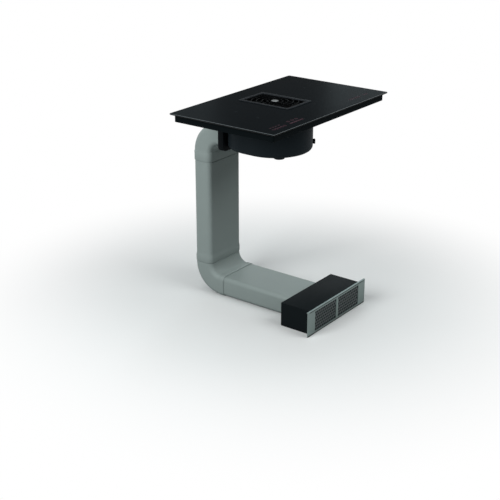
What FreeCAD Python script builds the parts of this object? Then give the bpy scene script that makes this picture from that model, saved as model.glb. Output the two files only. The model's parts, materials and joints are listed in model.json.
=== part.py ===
import FreeCAD, Part
import math
import operator
import os
import Sketcher
from FreeCAD import Placement, Rotation, Vector

# Downdraft cooktop: an induction hob with a blower under it and a flat duct to a plinth filter box.
# Millimetres, +Z up, the front faces -Y. The origin lies on the floor on the hob's centre line, midway
# between the plinth grille's face and the back of the duct.

SIZES = {
    # Installation
    "install_depth": 694,
    "worktop_height": 900,
    "fit_gap": 0.3,
    "running_gap": 0.05,
    # Glass and its sealing tape
    "glass_width": 830,
    "glass_depth": 515,
    "glass_thickness": 4,
    "glass_corner": 5,
    "glass_bevel": 1.2,
    "tape_thickness": 2,
    "tape_width": 9,
    "tape_inset": 2,
    # Chassis tray
    "chassis_width": 800,
    "chassis_depth": 487,
    "chassis_drop": 30,
    "chassis_corner": 6,
    "chassis_sheet": 1.2,
    "chassis_bend": 2,
    "vent_length": 44,
    "vent_width": 4,
    "vent_pitch": 11,
    "vent_count": 8,
    # Downdraft intake
    "well_offset": 38,
    "well_width": 140,
    "well_length": 224,
    "well_corner": 10,
    "frame_band": 16,
    "frame_thickness": 2,
    "frame_wall": 3,
    "frame_depth": 8,
    "frame_play": 1,
    "liner_wall": 2,
    "liner_ledge": 6,
    "grille_border": 4,
    "grille_bar": 5,
    "grille_depth": 8,
    "ring_first": 33,
    "ring_pitch": 22,
    "hub_radius": 20,
    "badge_radius": 15,
    "badge_thickness": 1.2,
    "cassette_height": 22,
    "cassette_rim": 8,
    "cassette_mesh": 8,
    # Induction coils, from the glass down
    "coil_offset_x": 240,
    "coil_offset_y": 64,
    "coil_width": 230,
    "coil_depth": 120,
    "coil_corner": 56,
    "coil_eye": 24,
    "coil_height": 5,
    "mica_thickness": 1,
    "carrier_thickness": 2,
    "carrier_width": 250,
    "carrier_depth": 270,
    "ferrite_height": 3,
    "ferrite_width": 12,
    "ferrite_length": 80,
    "sensor_radius": 6,
    "post_radius": 4,
    "post_inset": 10,
    # Electronics on the chassis floor
    "board_width": 150,
    "board_depth": 190,
    "board_thickness": 1.6,
    "standoff_height": 4,
    "standoff_radius": 3,
    "sink_width": 44,
    "sink_length": 150,
    "sink_height": 10,
    "sink_base": 3,
    "fin_thickness": 1.5,
    "fin_count": 8,
    "fan_side": 64,
    "fan_height": 15,
    "fan_bore": 29,
    "fan_hub": 11,
    "fan_tip_gap": 1,
    "fan_spindle": 3,
    "fan_spoke": 4,
    "fan_spoke_height": 3,
    "fan_blades": 7,
    "fan_blade_bite": 1,
    "fan_blade_lean": 3,
    "fan_blade_sheet": 1.5,
    "fan_setback": 45,
    "touch_width": 220,
    "touch_depth": 26,
    "touch_inset": 22,
    "terminal_width": 60,
    "terminal_depth": 24,
    "terminal_height": 18,
    "terminal_ways": 5,
    "terminal_screw": 2,
    "gland_radius": 11,
    "gland_bore": 5,
    "gland_drop": 14,
    "gland_collar": 3,
    "gland_step": 3,
    "inlet_side": 70,
    "inlet_back": 63.5,
    # Blower
    "drum_radius": 161,
    "drum_straight": 48,
    "drum_height": 167,
    "drum_wall": 2.5,
    "drum_round": 18,
    "drum_back": 157,
    "inlet_radius": 70,
    "lip_height": 10,
    "wheel_radius": 116,
    "wheel_eye": 80,
    "wheel_plate": 2,
    "wheel_height": 108,
    "wheel_hub": 16,
    "wheel_hub_height": 16,
    "blade_root": 90,
    "blade_curve": 22,
    "blade_sheet": 1.4,
    "blade_count": 40,
    "motor_radius": 44,
    "motor_height": 26,
    "motor_gap": 4,
    "motor_edge": 4,
    "shaft_radius": 4,
    "bearing_radius": 11,
    "bearing_height": 7,
    "mount_thickness": 2,
    "mount_reach": 78,
    "mount_arm": 22,
    "mount_arms": 3,
    "grommet_radius": 9,
    "grommet_height": 8,
    "cap_radius": 23.5,
    "cap_height": 9,
    "cap_taper": 2,
    "cap_x": 84,
    "cap_y": 84,
    "lead_gland_width": 14,
    "lead_gland_height": 20,
    "lead_gland_reach": 10,
    "lead_gland_corner": 2.5,
    "lead_gland_rise": 20,
    "lead_gland_angle": -53,
    "screw_circle": 145,
    "screw_radius": 2,
    "screw_head": 4,
    "screw_head_height": 2,
    "screw_count": 6,
    # Outlet flange and flat duct
    "flange_width": 300,
    "flange_depth": 28,
    "flange_margin": 5,
    "flange_corner": 20,
    "spigot_length": 26,
    "duct_width": 220,
    "duct_height": 90,
    "duct_wall": 2.5,
    "duct_corner": 20,
    "socket_wall": 2.2,
    "bend_inside": 45,
    "elbow_leg": 35.5,
    "outlet_rise": 42,
    "upper_socket": 40,
    "lower_socket": 10,
    "front_socket": 26,
    # Plinth filter box
    "box_width": 380,
    "box_depth": 155,
    "box_height": 106,
    "box_sheet": 1.5,
    "duct_entry": 12,
    "cartridge_depth": 100,
    "cartridge_rim": 10,
    "plinth_width": 444,
    "plinth_height": 113,
    "plinth_sheet": 3,
    "plinth_return": 4,
    "return_sheet": 1.5,
    "window_width": 162,
    "window_height": 90,
    "window_margin": 3,
    "window_rise": 11,
    "centre_bar": 14,
    "groove_drop": 5.5,
    "groove_width": 4,
    "groove_depth": 1.5,
    "groove_end": 11,
    "mesh_sheet": 1,
    "mesh_pitch": 13,
    "mesh_hole": 8,
}


class Size:
    """A length worked out from the sheet: its value now and the formula that keeps it live."""

    def __init__(self, value, formula):
        self.value = value
        self.formula = formula

    def __float__(self):
        return float(self.value)

    def __add__(self, other):
        return combine(self, "+", other)

    def __radd__(self, other):
        return combine(other, "+", self)

    def __sub__(self, other):
        return combine(self, "-", other)

    def __rsub__(self, other):
        return combine(other, "-", self)

    def __mul__(self, other):
        return combine(self, "*", other)

    def __rmul__(self, other):
        return combine(other, "*", self)

    def __truediv__(self, other):
        return combine(self, "/", other)

    def __neg__(self):
        return combine(0, "-", self)


SIGNS = {"+": operator.add, "-": operator.sub, "*": operator.mul, "/": operator.truediv}


def size(number):
    """Any number as a Size."""
    return number if isinstance(number, Size) else Size(number, repr(number))


def combine(first, sign, second):
    first = size(first)
    second = size(second)
    value = SIGNS[sign](first.value, second.value)
    return Size(value, "(" + first.formula + " " + sign + " " + second.formula + ")")


class Sheet:
    """The driving sizes, each one an attribute tied to its cell."""

    def __init__(self, document, sizes):
        cells = document.addObject("Spreadsheet::Sheet", "Sizes")
        for row, (name, value) in enumerate(sizes.items(), start=1):
            cells.set("A%d" % row, name)
            cells.set("B%d" % row, str(value))
            cells.setAlias("B%d" % row, name)
            setattr(self, name, Size(value, "Sizes." + name))


doc = FreeCAD.newDocument("DowndraftCooktop")
dim = Sheet(doc, SIZES)
doc.recompute()

# Shared levels and places, from the driving sizes
ZERO = size(0)
FRONT = -dim.install_depth / 2
BACK = dim.install_depth / 2
SOCKET_GAP = dim.fit_gap + dim.socket_wall
SOCKET_WIDTH = dim.duct_width + 2 * SOCKET_GAP
SOCKET_HEIGHT = dim.duct_height + 2 * SOCKET_GAP
BEND_RADIUS = dim.bend_inside + dim.duct_height / 2
RISER_Y = BACK - SOCKET_HEIGHT / 2
BEND_Y = RISER_Y - BEND_RADIUS
FLANGE_BACK = BEND_Y - dim.elbow_leg
DRUM_BACK = FLANGE_BACK - dim.flange_depth
WELL_Y = DRUM_BACK - dim.drum_back
HOB_Y = WELL_Y - dim.well_offset
GLASS_UNDER = dim.worktop_height + dim.tape_thickness
GLASS_FACE = GLASS_UNDER + dim.glass_thickness
TRAY_UNDER = dim.worktop_height - dim.chassis_drop
TRAY_FLOOR = TRAY_UNDER + dim.chassis_sheet
LEDGE_TOP = TRAY_FLOOR + dim.liner_wall
COLLAR_WIDTH = dim.well_width + 2 * dim.frame_wall
COLLAR_LENGTH = dim.well_length + 2 * dim.frame_wall
THROAT_WIDTH = dim.well_width - 2 * dim.liner_ledge
THROAT_LENGTH = dim.well_length - 2 * dim.liner_ledge
CASSETTE_WIDTH = dim.well_width - 2 * dim.frame_play
CASSETTE_LENGTH = dim.well_length - 2 * dim.frame_play
CASSETTE_FOOT = LEDGE_TOP + dim.fit_gap
CASSETTE_TOP = CASSETTE_FOOT + dim.cassette_height
CARRIER_TOP = GLASS_UNDER - dim.mica_thickness - dim.coil_height
CARRIER_UNDER = CARRIER_TOP - dim.carrier_thickness
BOARD_UNDER = TRAY_FLOOR + dim.standoff_height
BOARD_TOP = BOARD_UNDER + dim.board_thickness
FAN_Y = HOB_Y - dim.chassis_depth / 2 + dim.fan_setback
BOARD_Y = HOB_Y + dim.fan_side / 2
INLET_X = dim.chassis_width / 2 - dim.inlet_side
INLET_Y = HOB_Y + dim.chassis_depth / 2 - dim.inlet_back
DRUM_TOP = TRAY_UNDER
COVER_UNDER = DRUM_TOP - dim.drum_wall
DRUM_UNDER = DRUM_TOP - dim.drum_height
DRUM_FLOOR = DRUM_UNDER + dim.drum_wall
OUTLET_Z = DRUM_UNDER + dim.outlet_rise
MOUNT_UNDER = DRUM_FLOOR + dim.grommet_height
MOTOR_UNDER = MOUNT_UNDER + dim.mount_thickness
MOTOR_TOP = MOTOR_UNDER + dim.motor_height
WHEEL_UNDER = MOTOR_TOP + dim.motor_gap
UPPER_BEND_Z = OUTLET_Z - BEND_RADIUS
FLOOR_DUCT_Z = SOCKET_HEIGHT / 2
LOWER_BEND_Z = FLOOR_DUCT_Z + BEND_RADIUS
BOX_FRONT = FRONT + dim.plinth_sheet + dim.fit_gap
BOX_BACK = BOX_FRONT + dim.box_depth
LID_UNDER = dim.box_height - dim.box_sheet


# Outlines: a list of (x, y, radius) corners, or a circle as (x, y, radius).
# The radius belongs to the stretch that ends at the corner: None is straight, a positive one turns left.

def rectangle(x, y, width, height, corner=None):
    """Rectangle about a centre, with rounded corners if a radius is given."""
    left = x - width / 2
    right = x + width / 2
    low = y - height / 2
    high = y + height / 2
    if corner is None:
        return [(left, low, None), (right, low, None), (right, high, None), (left, high, None)]
    return [
        (left + corner, low, corner), (right - corner, low, None),
        (right, low + corner, corner), (right, high - corner, None),
        (right - corner, high, corner), (left + corner, high, None),
        (left, high - corner, corner), (left, low + corner, None),
    ]


def arc_between(start, end, radius):
    """Short anticlockwise arc from one point to another."""
    chord = end - start
    half = chord.Length / 2
    rise = math.sqrt(max(radius * radius - half * half, 0))
    centre = (start + end) / 2 + Vector(-chord.y, chord.x, 0) * (rise / chord.Length)
    first = math.atan2(start.y - centre.y, start.x - centre.x)
    last = math.atan2(end.y - centre.y, end.x - centre.x)
    return Part.ArcOfCircle(Part.Circle(centre, Vector(0, 0, 1), radius), first, last)


def tie(sketch, kind, *terms):
    """One dimension of a sketch, driven by the sheet."""
    *places, length = terms
    index = sketch.addConstraint(Sketcher.Constraint(kind, *places, float(length)))
    sketch.setExpression("Constraints[%d]" % index, size(length).formula)


def pin(sketch, item, spot, x, y):
    """Hold one point of a sketch at x, y from its origin."""
    tie(sketch, "DistanceX", -1, 1, item, spot, x)
    tie(sketch, "DistanceY", -1, 1, item, spot, y)


def draw_circle(sketch, x, y, radius):
    centre = Vector(float(x), float(y), 0)
    item = sketch.addGeometry(Part.Circle(centre, Vector(0, 0, 1), float(radius)))
    pin(sketch, item, 3, x, y)
    tie(sketch, "Radius", item, radius)


def draw_path(sketch, path):
    spots = [Vector(float(x), float(y), 0) for x, y, _ in path]
    ends = []
    for index, (x, y, radius) in enumerate(path):
        start = spots[index - 1]
        end = spots[index]
        if radius is None:
            item = sketch.addGeometry(Part.LineSegment(start, end))
            ends.append((item, 1, 2))
        elif float(radius) > 0:
            item = sketch.addGeometry(arc_between(start, end, float(radius)))
            ends.append((item, 1, 2))
        else:
            item = sketch.addGeometry(arc_between(end, start, -float(radius)))
            ends.append((item, 2, 1))
    for index, (x, y, radius) in enumerate(path):
        item, _, tail = ends[index]
        following, head, _ = ends[(index + 1) % len(path)]
        sketch.addConstraint(Sketcher.Constraint("Coincident", item, tail, following, head))
        pin(sketch, item, tail, x, y)
        if radius is not None:
            tie(sketch, "Radius", item, radius if float(radius) > 0 else -radius)


def draw(sketch, outlines):
    for outline in outlines:
        if isinstance(outline, tuple):
            draw_circle(sketch, *outline)
        else:
            draw_path(sketch, outline)


# Features of a body. The axis is the one that the outlines are square to.
# Outlines hold X,Y on axis Z, X,Z on axis Y and Y,Z on axis X.

PLANES = {"X": "YZ_Plane", "Y": "XZ_Plane", "Z": "XY_Plane"}
NODES = []


def new_body(label):
    body = doc.addObject("PartDesign::Body", label)
    NODES.append(body)
    return body


def origin_item(body, role):
    return next(item for item in body.Origin.OriginFeatures if item.Role == role)


def new_sketch(body, axis, level):
    sketch = body.newObject("Sketcher::SketchObject", "Outline")
    sketch.AttachmentSupport = (origin_item(body, PLANES[axis]), [""])
    sketch.MapMode = "FlatFace"
    height = -level if axis == "Y" else level
    sketch.setExpression("AttachmentOffset.Base.z", size(height).formula)
    return sketch


def add(body, axis, low, high, *outlines):
    """Pad the outlines between two levels; inner outlines are holes."""
    sketch = new_sketch(body, axis, high if axis == "Y" else low)
    draw(sketch, outlines)
    feature = body.newObject("PartDesign::Pad", "Pad")
    feature.Profile = sketch
    feature.setExpression("Length", (high - low).formula)
    return feature


def take(body, axis, low, high, *outlines):
    """Cut the outlines out of the body between two levels."""
    doc.recompute()
    before = body.Shape.Volume
    sketch = new_sketch(body, axis, low if axis == "Y" else high)
    draw(sketch, outlines)
    feature = body.newObject("PartDesign::Pocket", "Pocket")
    feature.Profile = sketch
    feature.setExpression("Length", (high - low).formula)
    doc.recompute()
    if body.Shape.Volume >= before:
        raise RuntimeError("a cut in " + body.Label + " removes nothing")
    return feature


def turn(body, x, y, profile):
    """Revolve a closed (radius, height) outline about an upright line through x, y."""
    sketch = new_sketch(body, "Y", ZERO)
    draw(sketch, [profile])
    feature = body.newObject("PartDesign::Revolution", "Revolution")
    feature.Profile = sketch
    feature.ReferenceAxis = (origin_item(body, "Z_Axis"), [""])
    feature.Angle = 360
    body.setExpression("Placement.Base.x", size(x).formula)
    body.setExpression("Placement.Base.y", size(y).formula)
    return feature


def soften(body, kind, radius, chosen):
    """Fillet or chamfer the edges that a test picks."""
    doc.recompute()
    base = body.Tip
    names = ["Edge%d" % number for number, edge in enumerate(base.Shape.Edges, start=1) if chosen(edge)]
    feature = body.newObject("PartDesign::" + kind, kind)
    feature.Base = (base, names)
    feature.setExpression("Radius" if kind == "Fillet" else "Size", radius.formula)
    return feature


def repeat_round(body, feature, count):
    """Repeat a feature evenly about the body's own upright axis."""
    pattern = body.newObject("PartDesign::PolarPattern", "Round")
    pattern.Originals = [feature]
    pattern.Axis = (origin_item(body, "Z_Axis"), [""])
    pattern.Angle = 360
    pattern.setExpression("Occurrences", count.formula)
    body.Tip = pattern
    return pattern


def repeat_along(body, feature, axis, length, count):
    """Repeat a feature along an axis, the last copy at the given length."""
    pattern = body.newObject("PartDesign::LinearPattern", "Row")
    pattern.Originals = [feature]
    pattern.Direction = (origin_item(body, axis + "_Axis"), [""])
    pattern.setExpression("Length", length.formula)
    pattern.setExpression("Occurrences", count.formula)
    body.Tip = pattern
    return pattern


def place(item, x, y, z):
    for axis, length in (("x", x), ("y", y), ("z", z)):
        item.setExpression("Placement.Base." + axis, size(length).formula)


def cylinder(name, x, y, low, high, radius):
    item = doc.addObject("Part::Cylinder", name)
    item.setExpression("Radius", radius.formula)
    item.setExpression("Height", (high - low).formula)
    place(item, x, y, low)
    return item


def block(name, low, high):
    item = doc.addObject("Part::Box", name)
    for side, least, most in zip(("Length", "Width", "Height"), low, high):
        item.setExpression(side, (most - least).formula)
    place(item, *low)
    return item


def group(label, items):
    """Several like solids that share one node."""
    compound = doc.addObject("Part::Compound", label)
    compound.Links = items
    NODES.append(compound)
    return compound


def level_edge(z):
    """Test for edges that lie at one height."""
    height = float(z)
    return lambda edge: abs(edge.BoundBox.ZMin - height) < 1e-4 and abs(edge.BoundBox.ZMax - height) < 1e-4


# Hob top

def glass_outline(shrink):
    inset = 2 * shrink
    return rectangle(ZERO, HOB_Y, dim.glass_width - inset, dim.glass_depth - inset, dim.glass_corner)


def make_glass_top():
    body = new_body("glass_top")
    cut_width = COLLAR_WIDTH + 2 * dim.frame_play
    cut_length = COLLAR_LENGTH + 2 * dim.frame_play
    cut_corner = dim.well_corner + dim.frame_wall + dim.frame_play
    opening = rectangle(ZERO, WELL_Y, cut_width, cut_length, cut_corner)
    add(body, "Z", GLASS_UNDER, GLASS_FACE, glass_outline(ZERO), opening)
    at_top = level_edge(GLASS_FACE)
    reach = float(cut_width)

    def outer_rim(edge):
        middle = edge.BoundBox.Center
        beyond = abs(middle.x) > reach or abs(middle.y - float(HOB_Y)) > float(cut_length)
        return at_top(edge) and beyond

    soften(body, "Chamfer", dim.glass_bevel, outer_rim)


def make_worktop_tape():
    body = new_body("worktop_seal")
    outer = glass_outline(dim.tape_inset)
    inner = glass_outline(dim.tape_inset + dim.tape_width)
    add(body, "Z", dim.worktop_height, GLASS_UNDER, outer, inner)


def places_round(radius, count):
    """Places spread evenly on a circle about the blower's axis, as (x, y)."""
    for step in range(count):
        angle = math.radians(360 * step / count)
        x = radius * round(math.cos(angle), 9)
        y = WELL_Y + radius * round(math.sin(angle), 9)
        yield x, y


def screw_places():
    return places_round(dim.screw_circle, SIZES["screw_count"])


def screw_holes():
    return [(x, y, dim.screw_radius + dim.fit_gap) for x, y in screw_places()]


def make_chassis_tray():
    body = new_body("chassis_tray")
    outer = rectangle(ZERO, HOB_Y, dim.chassis_width, dim.chassis_depth, dim.chassis_corner)
    add(body, "Z", TRAY_UNDER, GLASS_UNDER, outer)
    soften(body, "Fillet", dim.chassis_bend, level_edge(TRAY_UNDER))
    both_walls = 2 * dim.chassis_sheet
    inner = rectangle(
        ZERO, HOB_Y, dim.chassis_width - both_walls, dim.chassis_depth - both_walls,
        dim.chassis_corner - dim.chassis_sheet,
    )
    take(body, "Z", TRAY_FLOOR, GLASS_UNDER, inner)
    well = rectangle(ZERO, WELL_Y, THROAT_WIDTH, THROAT_LENGTH)
    fan_inlets = [(side * dim.coil_offset_x, FAN_Y, dim.fan_bore) for side in (-1, 1)]
    lead_hole = (INLET_X, INLET_Y, dim.gland_radius - dim.gland_step)
    take(body, "Z", TRAY_UNDER, TRAY_FLOOR, well, lead_hole, *fan_inlets, *screw_holes())
    vent_y = HOB_Y + dim.chassis_depth / 2 - dim.vent_length
    steps = [number - (SIZES["vent_count"] - 1) / 2 for number in range(SIZES["vent_count"])]
    slots = [
        rectangle(side * dim.coil_offset_x + step * dim.vent_pitch, vent_y, dim.vent_width, dim.vent_length)
        for side in (-1, 1)
        for step in steps
    ]
    take(body, "Z", TRAY_UNDER, TRAY_FLOOR, *slots)


# Downdraft intake

def well_outline(width, length, corner):
    return rectangle(ZERO, WELL_Y, width, length, corner)


def make_downdraft_frame():
    body = new_body("downdraft_frame")
    opening = well_outline(dim.well_width, dim.well_length, dim.well_corner)
    band = 2 * dim.frame_band
    rim = well_outline(dim.well_width + band, dim.well_length + band, dim.well_corner)
    collar = well_outline(COLLAR_WIDTH, COLLAR_LENGTH, dim.well_corner + dim.frame_wall)
    add(body, "Z", GLASS_FACE, GLASS_FACE + dim.frame_thickness, rim, opening)
    add(body, "Z", GLASS_FACE - dim.frame_depth, GLASS_FACE, collar, opening)


def make_well_liner():
    body = new_body("well_liner")
    inside_width = COLLAR_WIDTH + 2 * dim.frame_play
    inside_length = COLLAR_LENGTH + 2 * dim.frame_play
    inside_corner = dim.well_corner + dim.frame_wall + dim.frame_play
    walls = 2 * dim.liner_wall
    outside = well_outline(inside_width + walls, inside_length + walls, inside_corner + dim.liner_wall)
    inside = well_outline(inside_width, inside_length, inside_corner)
    throat = well_outline(THROAT_WIDTH, THROAT_LENGTH, None)
    add(body, "Z", TRAY_FLOOR, GLASS_UNDER, outside)
    take(body, "Z", LEDGE_TOP, GLASS_UNDER, inside)
    take(body, "Z", TRAY_FLOOR, LEDGE_TOP, throat)


def make_grease_filter():
    frame = new_body("grease_filter_frame")
    outside = well_outline(CASSETTE_WIDTH, CASSETTE_LENGTH, dim.well_corner)
    rims = 2 * dim.cassette_rim
    window = well_outline(CASSETTE_WIDTH - rims, CASSETTE_LENGTH - rims, None)
    add(frame, "Z", CASSETTE_FOOT, CASSETTE_TOP, outside, window)
    mesh = new_body("grease_filter_mesh")
    mesh_foot = CASSETTE_FOOT + (dim.cassette_height - dim.cassette_mesh) / 2
    add(mesh, "Z", mesh_foot, mesh_foot + dim.cassette_mesh, window)


def ring_radii():
    """Radii of the ripple rings, out to the corners of the grille."""
    corner = math.hypot(float(CASSETTE_WIDTH), float(CASSETTE_LENGTH)) / 2
    radius = dim.ring_first
    while float(radius) + SIZES["grille_bar"] < corner:
        yield radius
        radius = radius + dim.ring_pitch


def make_downdraft_grille():
    body = new_body("downdraft_grille")
    foot = CASSETTE_TOP + dim.fit_gap
    ring_foot = GLASS_FACE - dim.grille_depth
    half_bar = dim.grille_bar / 2
    spokes = [
        rectangle(ZERO, WELL_Y, CASSETTE_WIDTH, dim.grille_bar),
        rectangle(ZERO, WELL_Y, dim.grille_bar, CASSETTE_LENGTH),
    ]
    add(body, "Z", foot, GLASS_FACE, (ZERO, WELL_Y, dim.hub_radius))
    for spoke in spokes:
        add(body, "Z", foot, GLASS_FACE - half_bar, spoke)
    for radius in ring_radii():
        outer = (ZERO, WELL_Y, radius + half_bar)
        inner = (ZERO, WELL_Y, radius - half_bar)
        add(body, "Z", ring_foot, GLASS_FACE, outer, inner)
    edge = well_outline(CASSETTE_WIDTH, CASSETTE_LENGTH, dim.well_corner)
    beyond = well_outline(2 * CASSETTE_LENGTH, 2 * CASSETTE_LENGTH, None)
    take(body, "Z", foot, GLASS_FACE, beyond, edge)
    borders = 2 * dim.grille_border
    inside = well_outline(
        CASSETTE_WIDTH - borders, CASSETTE_LENGTH - borders, dim.well_corner - dim.grille_border
    )
    add(body, "Z", foot, GLASS_FACE, edge, inside)
    badge = new_body("grille_badge")
    add(badge, "Z", GLASS_FACE, GLASS_FACE + dim.badge_thickness, (ZERO, WELL_Y, dim.badge_radius))


# Induction coils

SIDES = {"left": -1, "right": 1}
ROWS = {"front": -1, "rear": 1}


def coil_place(side, row):
    return SIDES[side] * dim.coil_offset_x, HOB_Y + ROWS[row] * dim.coil_offset_y


def make_coils():
    for side in SIDES:
        for row in ROWS:
            x, y = coil_place(side, row)
            winding = rectangle(x, y, dim.coil_width, dim.coil_depth, dim.coil_corner)
            body = new_body("coil_" + row + "_" + side)
            add(body, "Z", CARRIER_TOP, CARRIER_TOP + dim.coil_height, winding, (x, y, dim.coil_eye))


def make_coil_carriers():
    sensors = []
    ferrites = []
    posts = []
    for side, sign in SIDES.items():
        x = sign * dim.coil_offset_x
        sheet = rectangle(x, HOB_Y, dim.carrier_width, dim.carrier_depth)
        carrier = new_body("coil_carrier_" + side)
        add(carrier, "Z", CARRIER_UNDER, CARRIER_TOP, sheet)
        mica = new_body("insulation_sheet_" + side)
        add(mica, "Z", GLASS_UNDER - dim.mica_thickness, GLASS_UNDER, sheet)
        half_width = dim.carrier_width / 2 - dim.post_inset
        half_depth = dim.carrier_depth / 2 - dim.post_inset
        for across, along in ((-1, -1), (1, -1), (1, 1), (-1, 1)):
            post_x = x + across * half_width
            post_y = HOB_Y + along * half_depth
            posts.append(cylinder("Post", post_x, post_y, TRAY_FLOOR, CARRIER_UNDER, dim.post_radius))
        for row in ROWS:
            _, y = coil_place(side, row)
            sensor_top = GLASS_UNDER - dim.mica_thickness
            sensors.append(cylinder("Sensor", x, y, CARRIER_TOP, sensor_top, dim.sensor_radius))
            for across in (-1, 1):
                middle = x + across * (dim.coil_width / 4)
                low = (middle - dim.ferrite_length / 2, y - dim.ferrite_width / 2,
                       CARRIER_UNDER - dim.ferrite_height)
                high = (middle + dim.ferrite_length / 2, y + dim.ferrite_width / 2, CARRIER_UNDER)
                ferrites.append(block("Ferrite", low, high))
    group("coil_sensors", sensors)
    group("ferrite_bars", ferrites)
    group("coil_posts", posts)


# Electronics

def make_power_boards():
    standoffs = []
    for side, sign in SIDES.items():
        x = sign * dim.coil_offset_x
        board = new_body("power_board_" + side)
        add(board, "Z", BOARD_UNDER, BOARD_TOP, rectangle(x, BOARD_Y, dim.board_width, dim.board_depth))
        for across, along in ((-1, -1), (1, -1), (1, 1), (-1, 1)):
            foot_x = x + across * (dim.board_width / 2 - dim.standoff_radius)
            foot_y = BOARD_Y + along * (dim.board_depth / 2 - dim.standoff_radius)
            foot = cylinder("Standoff", foot_x, foot_y, TRAY_FLOOR, BOARD_UNDER, dim.standoff_radius)
            standoffs.append(foot)
        make_heat_sink(side, x)
    group("board_standoffs", standoffs)


def make_heat_sink(side, x):
    """Extruded heat sink: a base with a row of upright fins."""
    body = new_body("heat_sink_" + side)
    base_top = BOARD_TOP + dim.sink_base
    add(body, "Z", BOARD_TOP, base_top, rectangle(x, BOARD_Y, dim.sink_width, dim.sink_length))
    first_fin = x - dim.sink_width / 2 + dim.fin_thickness / 2
    fin_outline = rectangle(first_fin, BOARD_Y, dim.fin_thickness, dim.sink_length)
    fin = add(body, "Z", base_top, BOARD_TOP + dim.sink_height, fin_outline)
    repeat_along(body, fin, "X", dim.sink_width - dim.fin_thickness, dim.fin_count)


def make_cooling_fans():
    for side, sign in SIDES.items():
        x = sign * dim.coil_offset_x
        top = TRAY_FLOOR + dim.fan_height
        frame = new_body("fan_frame_" + side)
        case = rectangle(x, FAN_Y, dim.fan_side, dim.fan_side)
        add(frame, "Z", TRAY_FLOOR, top, case, (x, FAN_Y, dim.fan_bore))
        spoke_top = TRAY_FLOOR + dim.fan_spoke_height
        add(frame, "Z", TRAY_FLOOR, spoke_top, rectangle(x, FAN_Y, dim.fan_side, dim.fan_spoke))
        add(frame, "Z", TRAY_FLOOR, spoke_top, (x, FAN_Y, dim.fan_hub))
        add(frame, "Z", spoke_top, top, (x, FAN_Y, dim.fan_spindle))
        make_fan_rotor(side, x, spoke_top + dim.fit_gap, top)


def make_fan_rotor(side, x, low, high):
    """Hub on its spindle with a ring of pitched blades."""
    body = new_body("fan_rotor_" + side)
    hub = (ZERO, ZERO, dim.fan_hub)
    bore = (ZERO, ZERO, dim.fan_spindle + dim.running_gap)
    add(body, "Z", ZERO, high - low, hub, bore)
    reach = dim.fan_bore - dim.fan_tip_gap
    root = dim.fan_hub - dim.fan_blade_bite
    blade = [
        (root, -dim.fan_blade_lean, None),
        (reach, ZERO, None),
        (reach, dim.fan_blade_sheet, None),
        (root, dim.fan_blade_sheet - dim.fan_blade_lean, None),
    ]
    vane = add(body, "Z", dim.fit_gap, high - low - dim.fit_gap, blade)
    repeat_round(body, vane, dim.fan_blades)
    place(body, x, FAN_Y, low)


def make_touch_boards():
    y = HOB_Y - dim.chassis_depth / 2 + dim.touch_inset
    low = GLASS_UNDER - dim.board_thickness
    for side, sign in SIDES.items():
        body = new_body("touch_board_" + side)
        x = sign * dim.coil_offset_x
        add(body, "Z", low, GLASS_UNDER, rectangle(x, y, dim.touch_width, dim.touch_depth))


def make_mains_inlet():
    gland = new_body("cable_gland")
    neck = dim.gland_radius - dim.gland_step
    lock_top = TRAY_FLOOR + dim.gland_collar
    turn(gland, INLET_X, INLET_Y, [
        (dim.gland_bore, TRAY_UNDER - dim.gland_drop, None),
        (neck, TRAY_UNDER - dim.gland_drop, None),
        (dim.gland_radius, TRAY_UNDER - dim.gland_drop + dim.gland_collar, None),
        (dim.gland_radius, TRAY_UNDER, None),
        (neck - dim.fit_gap, TRAY_UNDER, None),
        (neck - dim.fit_gap, TRAY_FLOOR, None),
        (dim.gland_radius, TRAY_FLOOR, None),
        (dim.gland_radius, lock_top, None),
        (dim.gland_bore, lock_top, None),
    ])
    terminal = new_body("terminal_block")
    terminal_y = INLET_Y - dim.gland_radius - dim.terminal_depth
    outline = rectangle(INLET_X, terminal_y, dim.terminal_width, dim.terminal_depth)
    add(terminal, "Z", TRAY_FLOOR, TRAY_FLOOR + dim.terminal_height, outline)
    way_pitch = dim.terminal_width / dim.terminal_ways
    steps = [number - (SIZES["terminal_ways"] - 1) / 2 for number in range(SIZES["terminal_ways"])]
    ways = [(INLET_X + step * way_pitch, terminal_y, dim.terminal_screw) for step in steps]
    take(terminal, "Z", TRAY_FLOOR + dim.terminal_height / 2, TRAY_FLOOR + dim.terminal_height, *ways)


# Blower

def drum_outline(inset):
    """Plan of the blower: round in front, straight sides, rounded in again to a flat back."""
    radius = dim.drum_radius - inset
    side_y = WELL_Y + dim.drum_straight
    back_y = DRUM_BACK - inset
    rise = back_y - side_y
    half_back = math.sqrt(float(radius) ** 2 - float(rise) ** 2)
    root = "sqrt(" + radius.formula + " ^ 2 - " + rise.formula + " ^ 2)"
    back_x = Size(half_back, root)
    return [
        (-radius, WELL_Y, None),
        (ZERO, WELL_Y - radius, radius),
        (radius, WELL_Y, radius),
        (radius, side_y, None),
        (back_x, back_y, radius),
        (-back_x, back_y, None),
        (-radius, side_y, radius),
    ]


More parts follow.
